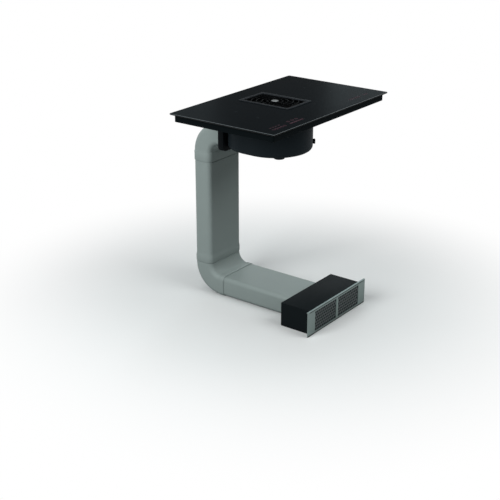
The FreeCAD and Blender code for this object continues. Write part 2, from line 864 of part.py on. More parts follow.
def make_scroll_housing():
    body = new_body("scroll_housing")
    add(body, "Z", DRUM_UNDER, COVER_UNDER, drum_outline(ZERO))
    at_floor = level_edge(DRUM_UNDER)
    soften(body, "Fillet", dim.drum_round, lambda edge: at_floor(edge) and not is_straight_across(edge))
    doc.recompute()
    rim = next(
        "Face%d" % number
        for number, face in enumerate(body.Tip.Shape.Faces, start=1)
        if abs(face.BoundBox.ZMin - float(COVER_UNDER)) < 1e-4
    )
    base = body.Tip
    shell = body.newObject("PartDesign::Thickness", "Shell")
    shell.Base = (base, [rim])
    shell.setExpression("Value", dim.drum_wall.formula)
    shell.Reversed = True
    outlet_low = DRUM_FLOOR + dim.fit_gap
    outlet_high = OUTLET_Z + dim.duct_height / 2 - dim.duct_wall
    outlet_middle = (outlet_low + outlet_high) / 2
    opening = rectangle(ZERO, outlet_middle, dim.duct_width - 2 * dim.duct_wall, outlet_high - outlet_low)
    take(body, "Y", DRUM_BACK - 2 * dim.drum_wall, DRUM_BACK, opening)


def is_straight_across(edge):
    """True for the straight back edge, which stays square against the flange."""
    return edge.BoundBox.YLength < 1e-4


def make_scroll_cover():
    body = new_body("scroll_cover")
    inlet = (ZERO, WELL_Y, dim.inlet_radius)
    lip = (ZERO, WELL_Y, dim.inlet_radius + dim.drum_wall)
    add(body, "Z", COVER_UNDER, DRUM_TOP, drum_outline(ZERO), inlet, *screw_holes())
    add(body, "Z", COVER_UNDER - dim.lip_height, COVER_UNDER, lip, inlet)
    screws = []
    for x, y in screw_places():
        screws.append(cylinder("Shank", x, y, COVER_UNDER, TRAY_FLOOR, dim.screw_radius))
        screws.append(cylinder("Head", x, y, TRAY_FLOOR, TRAY_FLOOR + dim.screw_head_height, dim.screw_head))
    group("blower_screws", screws)


def make_impeller():
    """Squirrel-cage wheel: back plate with hub, forward-curved blades and an eye ring."""
    body = new_body("impeller")
    top = dim.wheel_height
    shaft_hole = (ZERO, ZERO, dim.shaft_radius)
    add(body, "Z", ZERO, dim.wheel_plate, (ZERO, ZERO, dim.wheel_radius), shaft_hole)
    add(body, "Z", dim.wheel_plate, dim.wheel_hub_height, (ZERO, ZERO, dim.wheel_hub), shaft_hole)
    lead = (dim.wheel_radius - dim.blade_root) / 2
    blade = [
        (dim.blade_root, ZERO, None),
        (dim.wheel_radius - dim.blade_sheet, lead, dim.blade_curve),
        (dim.wheel_radius - 2 * dim.blade_sheet, lead + dim.blade_sheet, None),
        (dim.blade_root, dim.blade_sheet, -dim.blade_curve),
    ]
    first = add(body, "Z", dim.wheel_plate, top, blade)
    repeat_round(body, first, dim.blade_count)
    eye_foot = top - dim.wheel_plate
    add(body, "Z", eye_foot, top, (ZERO, ZERO, dim.wheel_radius), (ZERO, ZERO, dim.wheel_eye))
    place(body, ZERO, WELL_Y, WHEEL_UNDER)


def make_motor():
    case = new_body("motor_body")
    bore = dim.bearing_radius + dim.running_gap
    turn(case, ZERO, WELL_Y, [
        (bore, MOTOR_UNDER, None),
        (dim.motor_radius, MOTOR_UNDER, None),
        (dim.motor_radius, MOTOR_TOP - dim.motor_edge, None),
        (dim.motor_radius - dim.motor_edge, MOTOR_TOP, None),
        (bore, MOTOR_TOP, None),
    ])
    shaft_top = WHEEL_UNDER + dim.wheel_hub_height
    shaft = cylinder("motor_shaft", ZERO, WELL_Y, MOTOR_UNDER, shaft_top, dim.shaft_radius)
    NODES.append(shaft)
    rings = []
    for name, low in (("LowerBearing", MOTOR_UNDER), ("UpperBearing", MOTOR_TOP - dim.bearing_height)):
        outer = cylinder(name + "Outside", ZERO, WELL_Y, low, low + dim.bearing_height, dim.bearing_radius)
        inner = cylinder(
            name + "Bore", ZERO, WELL_Y, low, low + dim.bearing_height, dim.shaft_radius + dim.running_gap
        )
        ring = doc.addObject("Part::Cut", name)
        ring.Base = outer
        ring.Tool = inner
        rings.append(ring)
    group("motor_bearings", rings)


def make_motor_mount():
    """Plate with arms that stand on rubber grommets."""
    body = new_body("motor_mount")
    bore = (ZERO, ZERO, dim.shaft_radius + dim.fit_gap)
    add(body, "Z", ZERO, dim.mount_thickness, (ZERO, ZERO, dim.motor_radius), bore)
    arm_start = dim.motor_radius / 2
    arm = rectangle((dim.mount_reach + arm_start) / 2, ZERO, dim.mount_reach - arm_start, dim.mount_arm)
    first = add(body, "Z", ZERO, dim.mount_thickness, arm)
    repeat_round(body, first, dim.mount_arms)
    place(body, ZERO, WELL_Y, MOUNT_UNDER)
    grommets = [
        cylinder("Grommet", x, y, DRUM_FLOOR, MOUNT_UNDER, dim.grommet_radius)
        for x, y in places_round(dim.mount_reach - dim.grommet_radius, SIZES["mount_arms"])
    ]
    group("motor_grommets", grommets)


def make_drum_fittings():
    cap = new_body("drain_cap")
    turn(cap, -dim.cap_x, WELL_Y - dim.cap_y, [
        (ZERO, DRUM_UNDER - dim.cap_height, None),
        (dim.cap_radius - dim.cap_taper, DRUM_UNDER - dim.cap_height, None),
        (dim.cap_radius, DRUM_UNDER, None),
        (ZERO, DRUM_UNDER, None),
    ])
    gland = new_body("motor_lead_gland")
    low = DRUM_UNDER + dim.lead_gland_rise
    face = rectangle(
        ZERO, low + dim.lead_gland_height / 2, dim.lead_gland_width, dim.lead_gland_height,
        dim.lead_gland_corner,
    )
    add(gland, "X", dim.drum_radius + dim.fit_gap, dim.drum_radius + dim.lead_gland_reach, face)
    gland.Placement = Placement(Vector(0, 0, 0), Rotation(Vector(0, 0, 1), SIZES["lead_gland_angle"]))
    place(gland, ZERO, WELL_Y, ZERO)


# Outlet flange and flat duct

def duct_section(x, y, growth):
    """Flat duct section with rounded corners, grown on every side."""
    both = 2 * growth
    return rectangle(x, y, dim.duct_width + both, dim.duct_height + both, dim.duct_corner + growth)


def make_outlet_flange():
    body = new_body("outlet_flange")
    height = SOCKET_HEIGHT + 2 * dim.flange_margin
    plate = rectangle(ZERO, OUTLET_Z, dim.flange_width, height, dim.flange_corner)
    bore = duct_section(ZERO, OUTLET_Z, -dim.duct_wall)
    spigot = duct_section(ZERO, OUTLET_Z, ZERO)
    add(body, "Y", DRUM_BACK, FLANGE_BACK, plate, bore)
    add(body, "Y", FLANGE_BACK, FLANGE_BACK + dim.spigot_length, spigot, bore)


def make_bend(body, z, level):
    """Quarter bend from the section at one level, about the line that both legs start from."""
    sketch = new_sketch(body, "Y", BEND_Y)
    outer = duct_section(ZERO, level, SOCKET_GAP)
    inner = duct_section(ZERO, level, dim.fit_gap)
    draw(sketch, [outer, inner])
    half = float(SOCKET_WIDTH) / 2
    hinge = sketch.addGeometry(Part.LineSegment(Vector(-half, float(z), 0), Vector(half, float(z), 0)), True)
    pin(sketch, hinge, 1, -SOCKET_WIDTH / 2, z)
    pin(sketch, hinge, 2, SOCKET_WIDTH / 2, z)
    bend = body.newObject("PartDesign::Revolution", "Bend")
    bend.Profile = sketch
    bend.ReferenceAxis = (sketch, ["Axis0"])
    bend.Angle = 90
    bend.Reversed = float(level) > float(z)
    return outer, inner


def make_upper_elbow():
    body = new_body("upper_elbow")
    outer, inner = make_bend(body, UPPER_BEND_Z, OUTLET_Z)
    add(body, "Y", FLANGE_BACK, BEND_Y, outer, inner)
    upright = [duct_section(ZERO, RISER_Y, SOCKET_GAP), duct_section(ZERO, RISER_Y, dim.fit_gap)]
    add(body, "Z", UPPER_BEND_Z - dim.upper_socket, UPPER_BEND_Z, *upright)


def make_lower_elbow():
    body = new_body("lower_elbow")
    outer, inner = make_bend(body, LOWER_BEND_Z, FLOOR_DUCT_Z)
    add(body, "Y", BEND_Y - dim.front_socket, BEND_Y, outer, inner)
    upright = [duct_section(ZERO, RISER_Y, SOCKET_GAP), duct_section(ZERO, RISER_Y, dim.fit_gap)]
    add(body, "Z", LOWER_BEND_Z, LOWER_BEND_Z + dim.lower_socket, *upright)


def make_ducts():
    riser = new_body("vertical_duct")
    walls = [duct_section(ZERO, RISER_Y, ZERO), duct_section(ZERO, RISER_Y, -dim.duct_wall)]
    add(riser, "Z", LOWER_BEND_Z, UPPER_BEND_Z, *walls)
    runner = new_body("horizontal_duct")
    walls = [duct_section(ZERO, FLOOR_DUCT_Z, ZERO), duct_section(ZERO, FLOOR_DUCT_Z, -dim.duct_wall)]
    add(runner, "Y", BOX_BACK - dim.duct_entry, BEND_Y, *walls)


# Plinth filter box

def make_filter_box():
    body = new_body("filter_box")
    middle = (BOX_FRONT + BOX_BACK) / 2
    add(body, "Z", ZERO, LID_UNDER, rectangle(ZERO, middle, dim.box_width, dim.box_depth))
    inside_width = dim.box_width - 2 * dim.box_sheet
    inside_back = BOX_BACK - dim.box_sheet
    inside_middle = (BOX_FRONT + inside_back) / 2
    inside = rectangle(ZERO, inside_middle, inside_width, inside_back - BOX_FRONT)
    take(body, "Z", dim.box_sheet, LID_UNDER, inside)
    take(body, "Y", inside_back, BOX_BACK, duct_section(ZERO, FLOOR_DUCT_Z, dim.fit_gap))
    lid = new_body("filter_box_lid")
    add(lid, "Z", LID_UNDER, dim.box_height, rectangle(ZERO, middle, dim.box_width, dim.box_depth))


def make_charcoal_cartridges():
    width = (dim.box_width - 2 * dim.box_sheet - 3 * dim.fit_gap) / 2
    low = dim.box_sheet + dim.fit_gap
    high = LID_UNDER - dim.fit_gap
    middle = (low + high) / 2
    rims = 2 * dim.cartridge_rim
    front = BOX_FRONT + dim.fit_gap
    for side, sign in SIDES.items():
        x = sign * (width + dim.fit_gap) / 2
        frame = new_body("charcoal_cartridge_" + side)
        window = rectangle(x, middle, width - rims, high - low - rims)
        add(frame, "Y", front, front + dim.cartridge_depth, rectangle(x, middle, width, high - low), window)
        pellets = new_body("charcoal_block_" + side)
        add(pellets, "Y", front + dim.cartridge_rim, front + dim.cartridge_depth - dim.cartridge_rim, window)


def window_x(side):
    return SIDES[side] * (dim.window_width + dim.centre_bar) / 2


def make_plinth_grille():
    frame = new_body("plinth_frame")
    face_back = FRONT + dim.plinth_sheet
    window_z = dim.window_rise + dim.window_height / 2
    windows = [
        rectangle(window_x(side), window_z, dim.window_width, dim.window_height)
        for side in SIDES
    ]
    plate = rectangle(ZERO, dim.plinth_height / 2, dim.plinth_width, dim.plinth_height)
    add(frame, "Y", FRONT, face_back, plate, *windows)
    fold_z = dim.plinth_height - dim.return_sheet / 2
    fold = rectangle(ZERO, fold_z, dim.plinth_width, dim.return_sheet)
    add(frame, "Y", face_back, face_back + dim.plinth_return, fold)
    groove_z = dim.plinth_height - dim.groove_drop
    groove = rectangle(ZERO, groove_z, dim.plinth_width - 2 * dim.groove_end, dim.groove_width)
    take(frame, "Y", FRONT, FRONT + dim.groove_depth, groove)
    for side in SIDES:
        make_plinth_mesh(side, face_back, window_z)


def make_plinth_mesh(side, face_back, window_z):
    """Perforated sheet in the window: staggered square holes in one flat face."""
    sheet_back = float(face_back)
    middle_x = float(window_x(side))
    middle_z = float(window_z)
    width = SIZES["window_width"] - 2 * SIZES["window_margin"]
    height = SIZES["window_height"] - 2 * SIZES["window_margin"]

    def square(x, z, half_width, half_height):
        corners = [(-1, -1), (1, -1), (1, 1), (-1, 1), (-1, -1)]
        return Part.makePolygon([
            Vector(x + across * half_width, sheet_back, z + up * half_height) for across, up in corners
        ])

    outline = square(middle_x, middle_z, SIZES["window_width"] / 2, SIZES["window_height"] / 2)
    pitch = SIZES["mesh_pitch"]
    half = SIZES["mesh_hole"] / 2
    rows = int((height - 2 * half) // pitch)
    columns = int((width - 2 * half) // pitch)
    holes = []
    for row in range(rows + 1):
        shift = pitch / 2 if row % 2 else 0
        z = middle_z + (row - rows / 2) * pitch
        for column in range(columns + 1 - row % 2):
            x = middle_x + (column - columns / 2) * pitch + shift
            holes.append(square(x, z, half, half))
    face = Part.makeFace([outline] + holes, "Part::FaceMakerBullseye")
    sheet = face.extrude(Vector(0, -SIZES["mesh_sheet"], 0))
    item = doc.addObject("Part::Feature", "plinth_mesh_" + side)
    item.Shape = sheet
    NODES.append(item)


def check_document():
    doc.recompute()
    for item in doc.Objects:
        if "Invalid" in item.State or "Error" in item.State:
            raise RuntimeError("failed: " + item.Label + " " + str(item.State))
    for node in NODES:
        if node.Shape.isNull() or not node.Shape.isValid():
            raise RuntimeError("bad shape: " + node.Label)


def main():
    make_glass_top()
    make_worktop_tape()
    make_chassis_tray()
    make_downdraft_frame()
    make_well_liner()
    make_grease_filter()
    make_downdraft_grille()
    make_coils()
    make_coil_carriers()
    make_power_boards()
    make_cooling_fans()
    make_touch_boards()
    make_mains_inlet()
    make_scroll_housing()
    make_scroll_cover()
    make_impeller()
    make_motor()
    make_motor_mount()
    make_drum_fittings()
    make_outlet_flange()
    make_upper_elbow()
    make_lower_elbow()
    make_ducts()
    make_filter_box()
    make_charcoal_cartridges()
    make_plinth_grille()
    check_document()
    os.makedirs("parts", exist_ok=True)
    for node in NODES:
        node.Shape.exportStep("parts/" + node.Label + ".step")


main()
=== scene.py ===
import json
import math

import bmesh
import bpy
from bpy.props import FloatProperty, FloatVectorProperty, PointerProperty
from bpy.types import Operator, Panel, PropertyGroup
from mathutils import Matrix, Vector, noise


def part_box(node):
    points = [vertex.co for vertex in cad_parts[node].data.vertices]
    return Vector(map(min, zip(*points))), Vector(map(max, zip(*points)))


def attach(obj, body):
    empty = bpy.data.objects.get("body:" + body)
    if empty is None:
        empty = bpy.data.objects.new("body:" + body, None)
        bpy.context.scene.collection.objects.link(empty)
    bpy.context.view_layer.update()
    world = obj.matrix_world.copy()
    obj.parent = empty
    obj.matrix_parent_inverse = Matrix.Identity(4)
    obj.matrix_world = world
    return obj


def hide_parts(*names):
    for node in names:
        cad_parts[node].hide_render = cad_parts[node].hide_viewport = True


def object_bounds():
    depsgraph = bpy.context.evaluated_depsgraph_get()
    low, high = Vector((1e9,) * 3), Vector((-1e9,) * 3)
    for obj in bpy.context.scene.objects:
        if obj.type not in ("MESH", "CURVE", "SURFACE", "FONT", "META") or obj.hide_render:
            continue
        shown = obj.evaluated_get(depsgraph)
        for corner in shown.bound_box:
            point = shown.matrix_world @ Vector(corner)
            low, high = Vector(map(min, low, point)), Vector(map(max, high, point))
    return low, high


bl_info = {
    "name": "Downdraft Cooktop",
    "version": (1, 0, 0),
    "blender": (4, 5, 0),
    "location": "View3D > Sidebar > Cooktop",
    "description": "Dresses a downdraft cooktop, its blower, its flat duct and its plinth filter",
    "category": "Object",
}

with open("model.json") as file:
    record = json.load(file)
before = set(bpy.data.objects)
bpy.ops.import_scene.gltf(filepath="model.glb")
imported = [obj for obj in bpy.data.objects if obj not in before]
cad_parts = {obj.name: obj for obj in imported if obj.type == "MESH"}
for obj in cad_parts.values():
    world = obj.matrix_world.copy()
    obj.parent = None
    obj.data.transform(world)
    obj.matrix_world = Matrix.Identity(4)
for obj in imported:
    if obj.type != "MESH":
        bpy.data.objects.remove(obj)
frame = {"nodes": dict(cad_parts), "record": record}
CAD_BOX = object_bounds()

MM = 0.001
QUARTER_TURN = math.radians(90)
FULL_TURN = math.radians(360)
X, Y, Z = Vector((1, 0, 0)), Vector((0, 1, 0)), Vector((0, 0, 1))
SIDES = ("left", "right")

# Angles from which an edge is shaded sharp or rounded off, and up to which faces count as one
SMOOTH_ANGLE = math.radians(35)
SHARP_ANGLE = math.radians(50)
FLAT_ANGLE = math.radians(0.5)

# Distance within which points merge, and the one that holds loops apart while they are joined
WELD = 0.002 * MM
STAND_OFF = 0.1 * MM

# Segments of a rounded corner, a full turn, an elbow and a hole in the plinth mesh
CORNER_STEPS = 10
TURN_STEPS = 96
BEND_STEPS = 18
HOLE_STEPS = 12

# Layers of the grease filter, and the least opening of a mesh in strand widths
GREASE_LAYERS = 3
LEAST_OPENING = 3

# Charcoal block: cuts across a face, then its rounding and the size and depth of its lumps in millimetres
PELLET_CUTS = 12
PELLET_EDGE = 2
PELLET_SIZE = 6
PELLET_DEPTH = 1.5

# Printing on the glass, in millimetres: radii of a key's ring, strokes as length and width, then places
KEY_RING = (6.8, 4.8)
KEY_SIGN = (5.6, 1.8)
ZONE_SIGN = (14, 1.4)
KEY_ROWS = (
    {"x": (-356, -338, -320, -302, -284), "y": -262},
    {"x": (-229, -202, -175), "y": -239},
    {"x": (204, 222, 240, 258, 276, 312, 330), "y": -250},
)
BAR_ROWS = (
    {"x": range(-244, -163, 10), "y": -261, "sign": (6, 10)},
    {"x": (-347, -329, -311, -293), "y": -240, "sign": (11, 4)},
)
ZONE_MARKS = ((-235, 11), (-255, -113), (260, 21), (267, -108))

# Edges of the badge's groove, the cap's foot and the dish in that foot, as shares of the radius round them
BADGE_GROOVE = (0.86, 0.84, 0.80, 0.78)
CAP_FOOT = 0.93
CAP_DISH = (0.72, 0.68)

# Half outline of a lid screw's head: distance from its axis and height over the lid, in millimetres
SCREW_HEAD = ((0, -0.4), (3.2, -0.4), (3, 0.4), (1.8, 1), (0, 1.2))

# Floor, in metres: its reach, its drop below the object, and where it starts and ends to turn white
FLOOR_REACH = 30
FLOOR_DROP = 0.2 * MM
FLOOR_FADE = (0.45, 1.5)

# Shares of their light that the floor throws back and that the room sheds on the object
FLOOR_BOUNCE = 0.4
ROOM_LIGHT = 0.11

# Lamps: place and size in metres, power in watts, and colour
WHITE = (1, 1, 1)
COOL = (0.8, 0.95, 1)
LAMPS = {
    "key": ((-3.6, 0.6, 2.6), 2.2, 132, WHITE),
    "fill": ((0.6, -3.2, 3.3), 2.5, 74, WHITE),
    "top": ((0.2, 0.2, 4.2), 3.5, 50, WHITE),
    "rim": ((4.6, 1.98, 2.0), 1.2, 18, COOL),
    "back": ((2.62, 2.98, 2.05), 0.9, 6.5, COOL),
}

# Camera: place in metres, tilt and turn in degrees, lens and sensor in millimetres
CAMERA_PLACE = (-3.5692, -2.5727, 2.0294)
CAMERA_TILT = 67.821
CAMERA_TURN = -52.984
CAMERA_LENS = 78.07
CAMERA_SENSOR = 36


def linear(code):
    """An sRGB hex colour as linear red, green and blue."""
    parts = [int(code[start:start + 2], 16) / 255 for start in (1, 3, 5)]
    return tuple(
        part / 12.92 if part <= 0.04045 else ((part + 0.055) / 1.055) ** 2.4
        for part in parts
    )


# Sizes and colours that a user would change

def length(label, words, millimetres):
    return FloatProperty(name=label, description=words, default=millimetres * MM, unit="LENGTH", min=0)


def colour(label, words, code):
    return FloatVectorProperty(
        name=label, description=words, default=linear(code), subtype="COLOR", min=0, max=1,
    )


class CooktopSizes(PropertyGroup):
    """Sizes of the detail that the dressed pieces add"""

    glass_corner: length("Glass corner", "Corner radius of the glass", 5)
    glass_bevel: length("Glass bevel", "Ground bevel round the glass", 1.2)
    cut_corner: length("Cut-out corner", "Corner radius of the glass cut-out", 14)
    frame_corner: length("Frame corner", "Corner radius of the downdraft frame", 10)
    frame_wall: length("Frame wall", "Wall of the frame's collar", 3)
    frame_play: length("Frame play", "Gap between collar and glass", 1)
    frame_band: length("Frame band", "Width of the frame from its rim to its opening", 16)
    small_edge: length("Small edge", "Rounding of metal and moulded edges", 0.6)
    gland_edge: length("Gland edge", "Rounding of the lead gland", 2.5)
    print_height: length("Print height", "Thickness of the printing on the glass", 0.06)
    ring_first: length("First ring", "Radius of the innermost grille ring", 33)
    ring_pitch: length("Ring pitch", "Step between grille rings", 22)
    ring_bar: length("Ring bar", "Width of a grille ring", 5)
    ring_depth: length("Ring depth", "Depth of a grille ring", 8)
    ring_edge: length("Ring edge", "Rounding of the grille's edges", 1.25)
    ring_border: length("Grille border", "Width of the grille's outer border", 4)
    hub_radius: length("Hub radius", "Radius of the grille's hub", 20)
    grease_pitch: length("Grease mesh pitch", "Diamond size of the grease filter's mesh", 8)
    grease_strand: length("Grease mesh strand", "Strand width of the grease filter's mesh", 1.1)
    cassette_rim: length("Cassette rim", "Rim of the grease filter cassette", 8)
    duct_corner: length("Duct corner", "Outer corner radius of the flat duct", 20)
    duct_wall: length("Duct wall", "Wall of the flat duct", 2.5)
    socket_wall: length("Socket wall", "Wall of an elbow's socket", 2.2)
    socket_gap: length("Socket gap", "Gap between duct and socket", 0.3)
    bend_radius: length("Bend radius", "Middle radius of an elbow", 90)
    bend_step: length("Bend step", "Drop from a socket to the bend beside it", 1.7)
    bell_length: length("Bell length", "Widened foot of the upright duct", 29)
    bell_taper: length("Bell taper", "Shoulder above the widened foot", 14)
    bell_fade: length("Bell fade", "Run-out at each end of the shoulder", 4)
    spigot_depth: length("Spigot depth", "Reach of the floor elbow into the upright duct", 10)
    joint_gap: length("Joint gap", "Shadow gap left open at a duct joint", 4.5)
    neck_step: length("Neck step", "Depth of the shadow gap at a duct joint", 1.6)
    plinth_sheet: length("Plinth sheet", "Face thickness of the plinth frame", 3)
    plinth_return: length("Plinth return", "Thickness of the folded plinth edge", 1.5)
    groove_drop: length("Groove drop", "Groove's place below the plinth's top", 5)
    groove_width: length("Groove width", "Width of the plinth groove", 3.4)
    groove_depth: length("Groove depth", "Depth of the plinth groove", 1.5)
    groove_end: length("Groove end", "Plain steel left at each end of the groove", 11)
    foot_strip: length("Foot strip", "Height of the dark strip along the plinth's foot", 6)
    hole_pitch: length("Hole pitch", "Step between holes of the plinth mesh", 13.5)
    hole_width: length("Hole width", "Diameter of a hole in the plinth mesh", 10)
    mesh_sheet: length("Mesh sheet", "Thickness of the plinth mesh", 1)
    cartridge_rim: length("Cartridge rim", "Rim of a charcoal cartridge", 10)
    cartridge_cell: length("Cartridge cell", "Step between strands of a cartridge's grid", 12)
    cartridge_strand: length("Cartridge strand", "Strand of a cartridge's grid", 1.6)
    screw_inset: length("Screw inset", "Distance of the lid's screws from its edges", 14)


class CooktopColours(PropertyGroup):
    """Colours of the finishes"""

    glass: colour("Glass", "Near-black glass ceramic", "#0b1013")
    # The bevel's lighter grey is partly a painted highlight.
    bevel: colour("Bevel", "Ground glass edge with painted highlight", "#4b5356")
    red_print: colour("Touch marks", "Dull red touch marks", "#47323a")
    grey_print: colour("Zone marks", "Grey zone marks", "#292f32")
    anthracite: colour("Frame", "Anthracite anodised aluminium", "#282b2e")
    casting: colour("Grille", "Black enamelled casting", "#050607")
    badge: colour("Badge", "Polished stainless badge", "#84898a")
    steel: colour("Steel", "Brushed stainless steel", "#838f8d")
    # Painted shade: the fold's top faces are a little darker than the brushed steel, for the light they
    # catch.
    fold: colour("Fold", "Folded edge of the plinth's steel", "#7f8b8a")
    aluminium: colour("Aluminium", "Bare aluminium", "#c9cccc")
    # Painted shade: the filter's metal is darkened for the shade deep under the grille.
    shaded_filter_metal: colour("Filter metal", "Darkened aluminium of the grease filter", "#2a2d2e")
    powder: colour("Powder coat", "Satin black powder coat", "#171c1e")
    tray: colour("Tray", "Deep black coat of the tray", "#0c1113")
    moulding: colour("Moulding", "Black moulded plastic", "#1f262a")
    flange: colour("Flange", "Deep black of the flange and the gland", "#0c1012")
    duct: colour("Duct", "Light grey duct plastic", "#8a9694")
    charcoal: colour("Charcoal", "Activated charcoal", "#1c1c1c")
    # This black also fills the plinth's groove, where it is painted shade.
    rubber: colour("Rubber", "Black sealing tape", "#141414")
    copper: colour("Copper", "Enamelled copper", "#b5673a")
    mica: colour("Mica", "Pale mica sheet", "#cfc3a4")
    board: colour("Board", "Green circuit board", "#1f5a36")
    cream: colour("Terminal", "Cream terminal plastic", "#d8ceb4")
    ferrite: colour("Ferrite", "Sintered ferrite", "#2b2c2e")
    mesh: colour("Mesh", "Coated plinth mesh", "#3a4445")
    floor: colour("Floor", "Pale studio floor", "#e6eaea")


# Finishes

def add_node(tree, kind, settings=None, inputs=None):
    """One shader node with its settings, socket values and incoming links."""
    node = tree.nodes.new(kind)
    for name, value in (settings or {}).items():
        setattr(node, name, value)
    for name, value in (inputs or {}).items():
        if isinstance(value, bpy.types.NodeSocket):
            tree.links.new(value, node.inputs[name])
        else:
            node.inputs[name].default_value = value
    return node


def shade(base, factor):
    """A linear colour made lighter or darker, with its alpha."""
    return (*[min(part * factor, 1) for part in base], 1)


def empty_tree(holder):
    """The emptied node tree of a material or a world."""
    holder.use_nodes = True
    holder.node_tree.nodes.clear()
    return holder.node_tree


def material_named(name):
    """A material and its node tree, which is empty where the material is new."""
    material = bpy.data.materials.get(name)
    if not material:
        material = bpy.data.materials.new(name)
        empty_tree(material)
    return material, material.node_tree


def surface(name, base, grain, spread, gloss, bump=0, stretch=(1, 1, 1), shader=None):
    """Finish whose colour and gloss drift with a grain. Grain and bump are real sizes in millimetres."""
    material, tree = material_named(name)
    if tree.nodes:
        return material
    place = add_node(tree, "ShaderNodeTexCoord")
    scale = tuple(part / (grain * MM) for part in stretch)
    drawn = add_node(tree, "ShaderNodeMapping", inputs={"Vector": place.outputs["Object"], "Scale": scale})
    drift = add_node(tree, "ShaderNodeTexNoise", inputs={
        "Vector": drawn.outputs["Vector"], "Scale": 1, "Detail": 4, "Roughness": 0.6,
    }).outputs["Fac"]
    tint = add_node(tree, "ShaderNodeMix", {"data_type": "RGBA"}, {
        "Factor": drift, "A": shade(base, 1 - spread), "B": shade(base, 1 + spread),
    })
    shine = add_node(tree, "ShaderNodeMapRange", inputs={
        "Value": drift, "To Min": gloss[0], "To Max": gloss[1],
    })
    inputs = {"Base Color": tint.outputs["Result"], "Roughness": shine.outputs["Result"]}
    if bump:
        relief = add_node(tree, "ShaderNodeBump", inputs={"Height": drift, "Distance": bump * MM})
        inputs["Normal"] = relief.outputs["Normal"]
    inputs.update(shader or {})
    skin = add_node(tree, "ShaderNodeBsdfPrincipled", inputs=inputs)
    add_node(tree, "ShaderNodeOutputMaterial", inputs={"Surface": skin.outputs["BSDF"]})
    return material


def weak_mirror(ior):
    """Skin that mirrors the pale room only weakly, so that black stays deep."""
    return {"IOR": ior, "Specular IOR Level": 0.25}


def dull_metal(edge):
    """Metal whose mirror dims at a low angle to a share of what clean metal gives."""
    return {"Metallic": 1, "Specular Tint": (edge, edge, edge, 1)}


def glass_ceramic(colours):
    # Rolled glass ceramic: a deep near-black face with only a faint, soft mirror of the room.
    return surface(
        "Black glass ceramic", colours.glass, grain=90, spread=0.12, gloss=(0.18, 0.26),
        shader={"IOR": 1.014},
    )


def glass_edge_highlight(colours):
    # Ground and polished bevel: a thin lighter line round the black glass, its grey partly a painted
    # highlight.
    return surface("Ground glass edge with painted highlight", colours.bevel, grain=12, spread=0.08, gloss=(0.22, 0.34))


def fired_print(name, base):
    # Ceramic printing fired into the glass: flat and dull, hardly brighter than the glass.
    return surface(name, base, grain=3, spread=0.15, gloss=(0.45, 0.6), shader={"IOR": 1.03})


def anodised_frame(colours):
    # Brushed and anodised aluminium: a flat anthracite, its fine lines drawn coarser than real to show.
    return surface(
        "Anthracite anodised aluminium", colours.anthracite, grain=1.2, spread=0.1, gloss=(0.38, 0.52),
        bump=0.01, stretch=(1, 0.05, 1), shader=dull_metal(0.42),
    )


def enamel_casting(colours):
    # Matt enamel on cast iron: black, with a soft grain that breaks up its highlights.
    return surface(
        "Black enamelled casting", colours.casting, grain=0.9, spread=0.25, gloss=(0.42, 0.62),
        bump=0.05, shader=weak_mirror(1.05),
    )


def brushed_steel(colours):
    # Stainless sheet brushed along X, its strokes drawn coarser than real to show.
    return surface(
        "Brushed stainless steel", colours.steel, grain=0.9, spread=0.16, gloss=(0.26, 0.42),
        bump=0.008, stretch=(0.03, 1, 1), shader=dull_metal(0.6),
    )


def shaded_fold_edge(colours):
    # The sheet's folded top edge, a little darker and duller than the brushed face as painted shade, so
    # that it catches less light.
    # Its strokes are as coarse as that face's.
    return surface(
        "Stainless fold with painted shade", colours.fold, grain=0.9, spread=0.12, gloss=(0.4, 0.55),
        stretch=(0.03, 1, 1), shader=dull_metal(0.45),
    )


def polished_badge(colours):
    # Polished stainless disc: bright and clean, with a soft edge to its mirror.
    return surface(
        "Polished stainless steel", colours.badge, grain=2, spread=0.06, gloss=(0.16, 0.26),
        shader=dull_metal(0.5),
    )


def bare_aluminium(colours):
    # Mill-finished aluminium: pale, faintly mottled and soft in its shine.
    return surface(
        "Mill aluminium", colours.aluminium, grain=6, spread=0.1, gloss=(0.34, 0.5),
        shader={"Metallic": 1},
    )


def shaded_filter_aluminium(colours):
    # Aluminium darkened with painted shade, as the filter lies deep under the grille: darker and flatter
    # than bare metal.
    return surface(
        "Shaded filter aluminium", colours.shaded_filter_metal, grain=4, spread=0.15, gloss=(0.45, 0.6),
        shader=dull_metal(0.4),
    )


def powder_coat(colours):
    # Powder-coated sheet steel: satin black with a fine orange-peel skin.
    return surface(
        "Satin black powder coat", colours.powder, grain=1.6, spread=0.18, gloss=(0.42, 0.56),
        bump=0.02, shader=weak_mirror(1.08),
    )


def tray_coat(colours):
    # Baked black paint on deep-drawn steel: flatter and darker than the powder coat.
    return surface(
        "Flat black stove paint", colours.tray, grain=1.6, spread=0.18, gloss=(0.5, 0.65),
        bump=0.02, shader=weak_mirror(1.08),
    )


def filled_nylon(colours):
    # Moulded glass-filled nylon: a deep, dry black, its fine mottle drawn coarser than real to show.
    return surface(
        "Black glass-filled nylon", colours.flange, grain=1.1, spread=0.2, gloss=(0.5, 0.66),
        bump=0.03, shader=weak_mirror(1.15),
    )


def black_moulding(colours):
    # Moulded ABS with a spark-eroded texture, drawn coarser than real to show.
    return surface(
        "Black moulded ABS", colours.moulding, grain=1.1, spread=0.2, gloss=(0.46, 0.62),
        bump=0.03, shader=weak_mirror(1.15),
    )


def duct_plastic(colours):
    # Extruded light grey PVC: slow clouds of tone and a soft, low sheen.
    return surface(
        "Light grey PVC", colours.duct, grain=60, spread=0.035, gloss=(0.42, 0.54),
        shader={"Specular IOR Level": 0.12},
    )


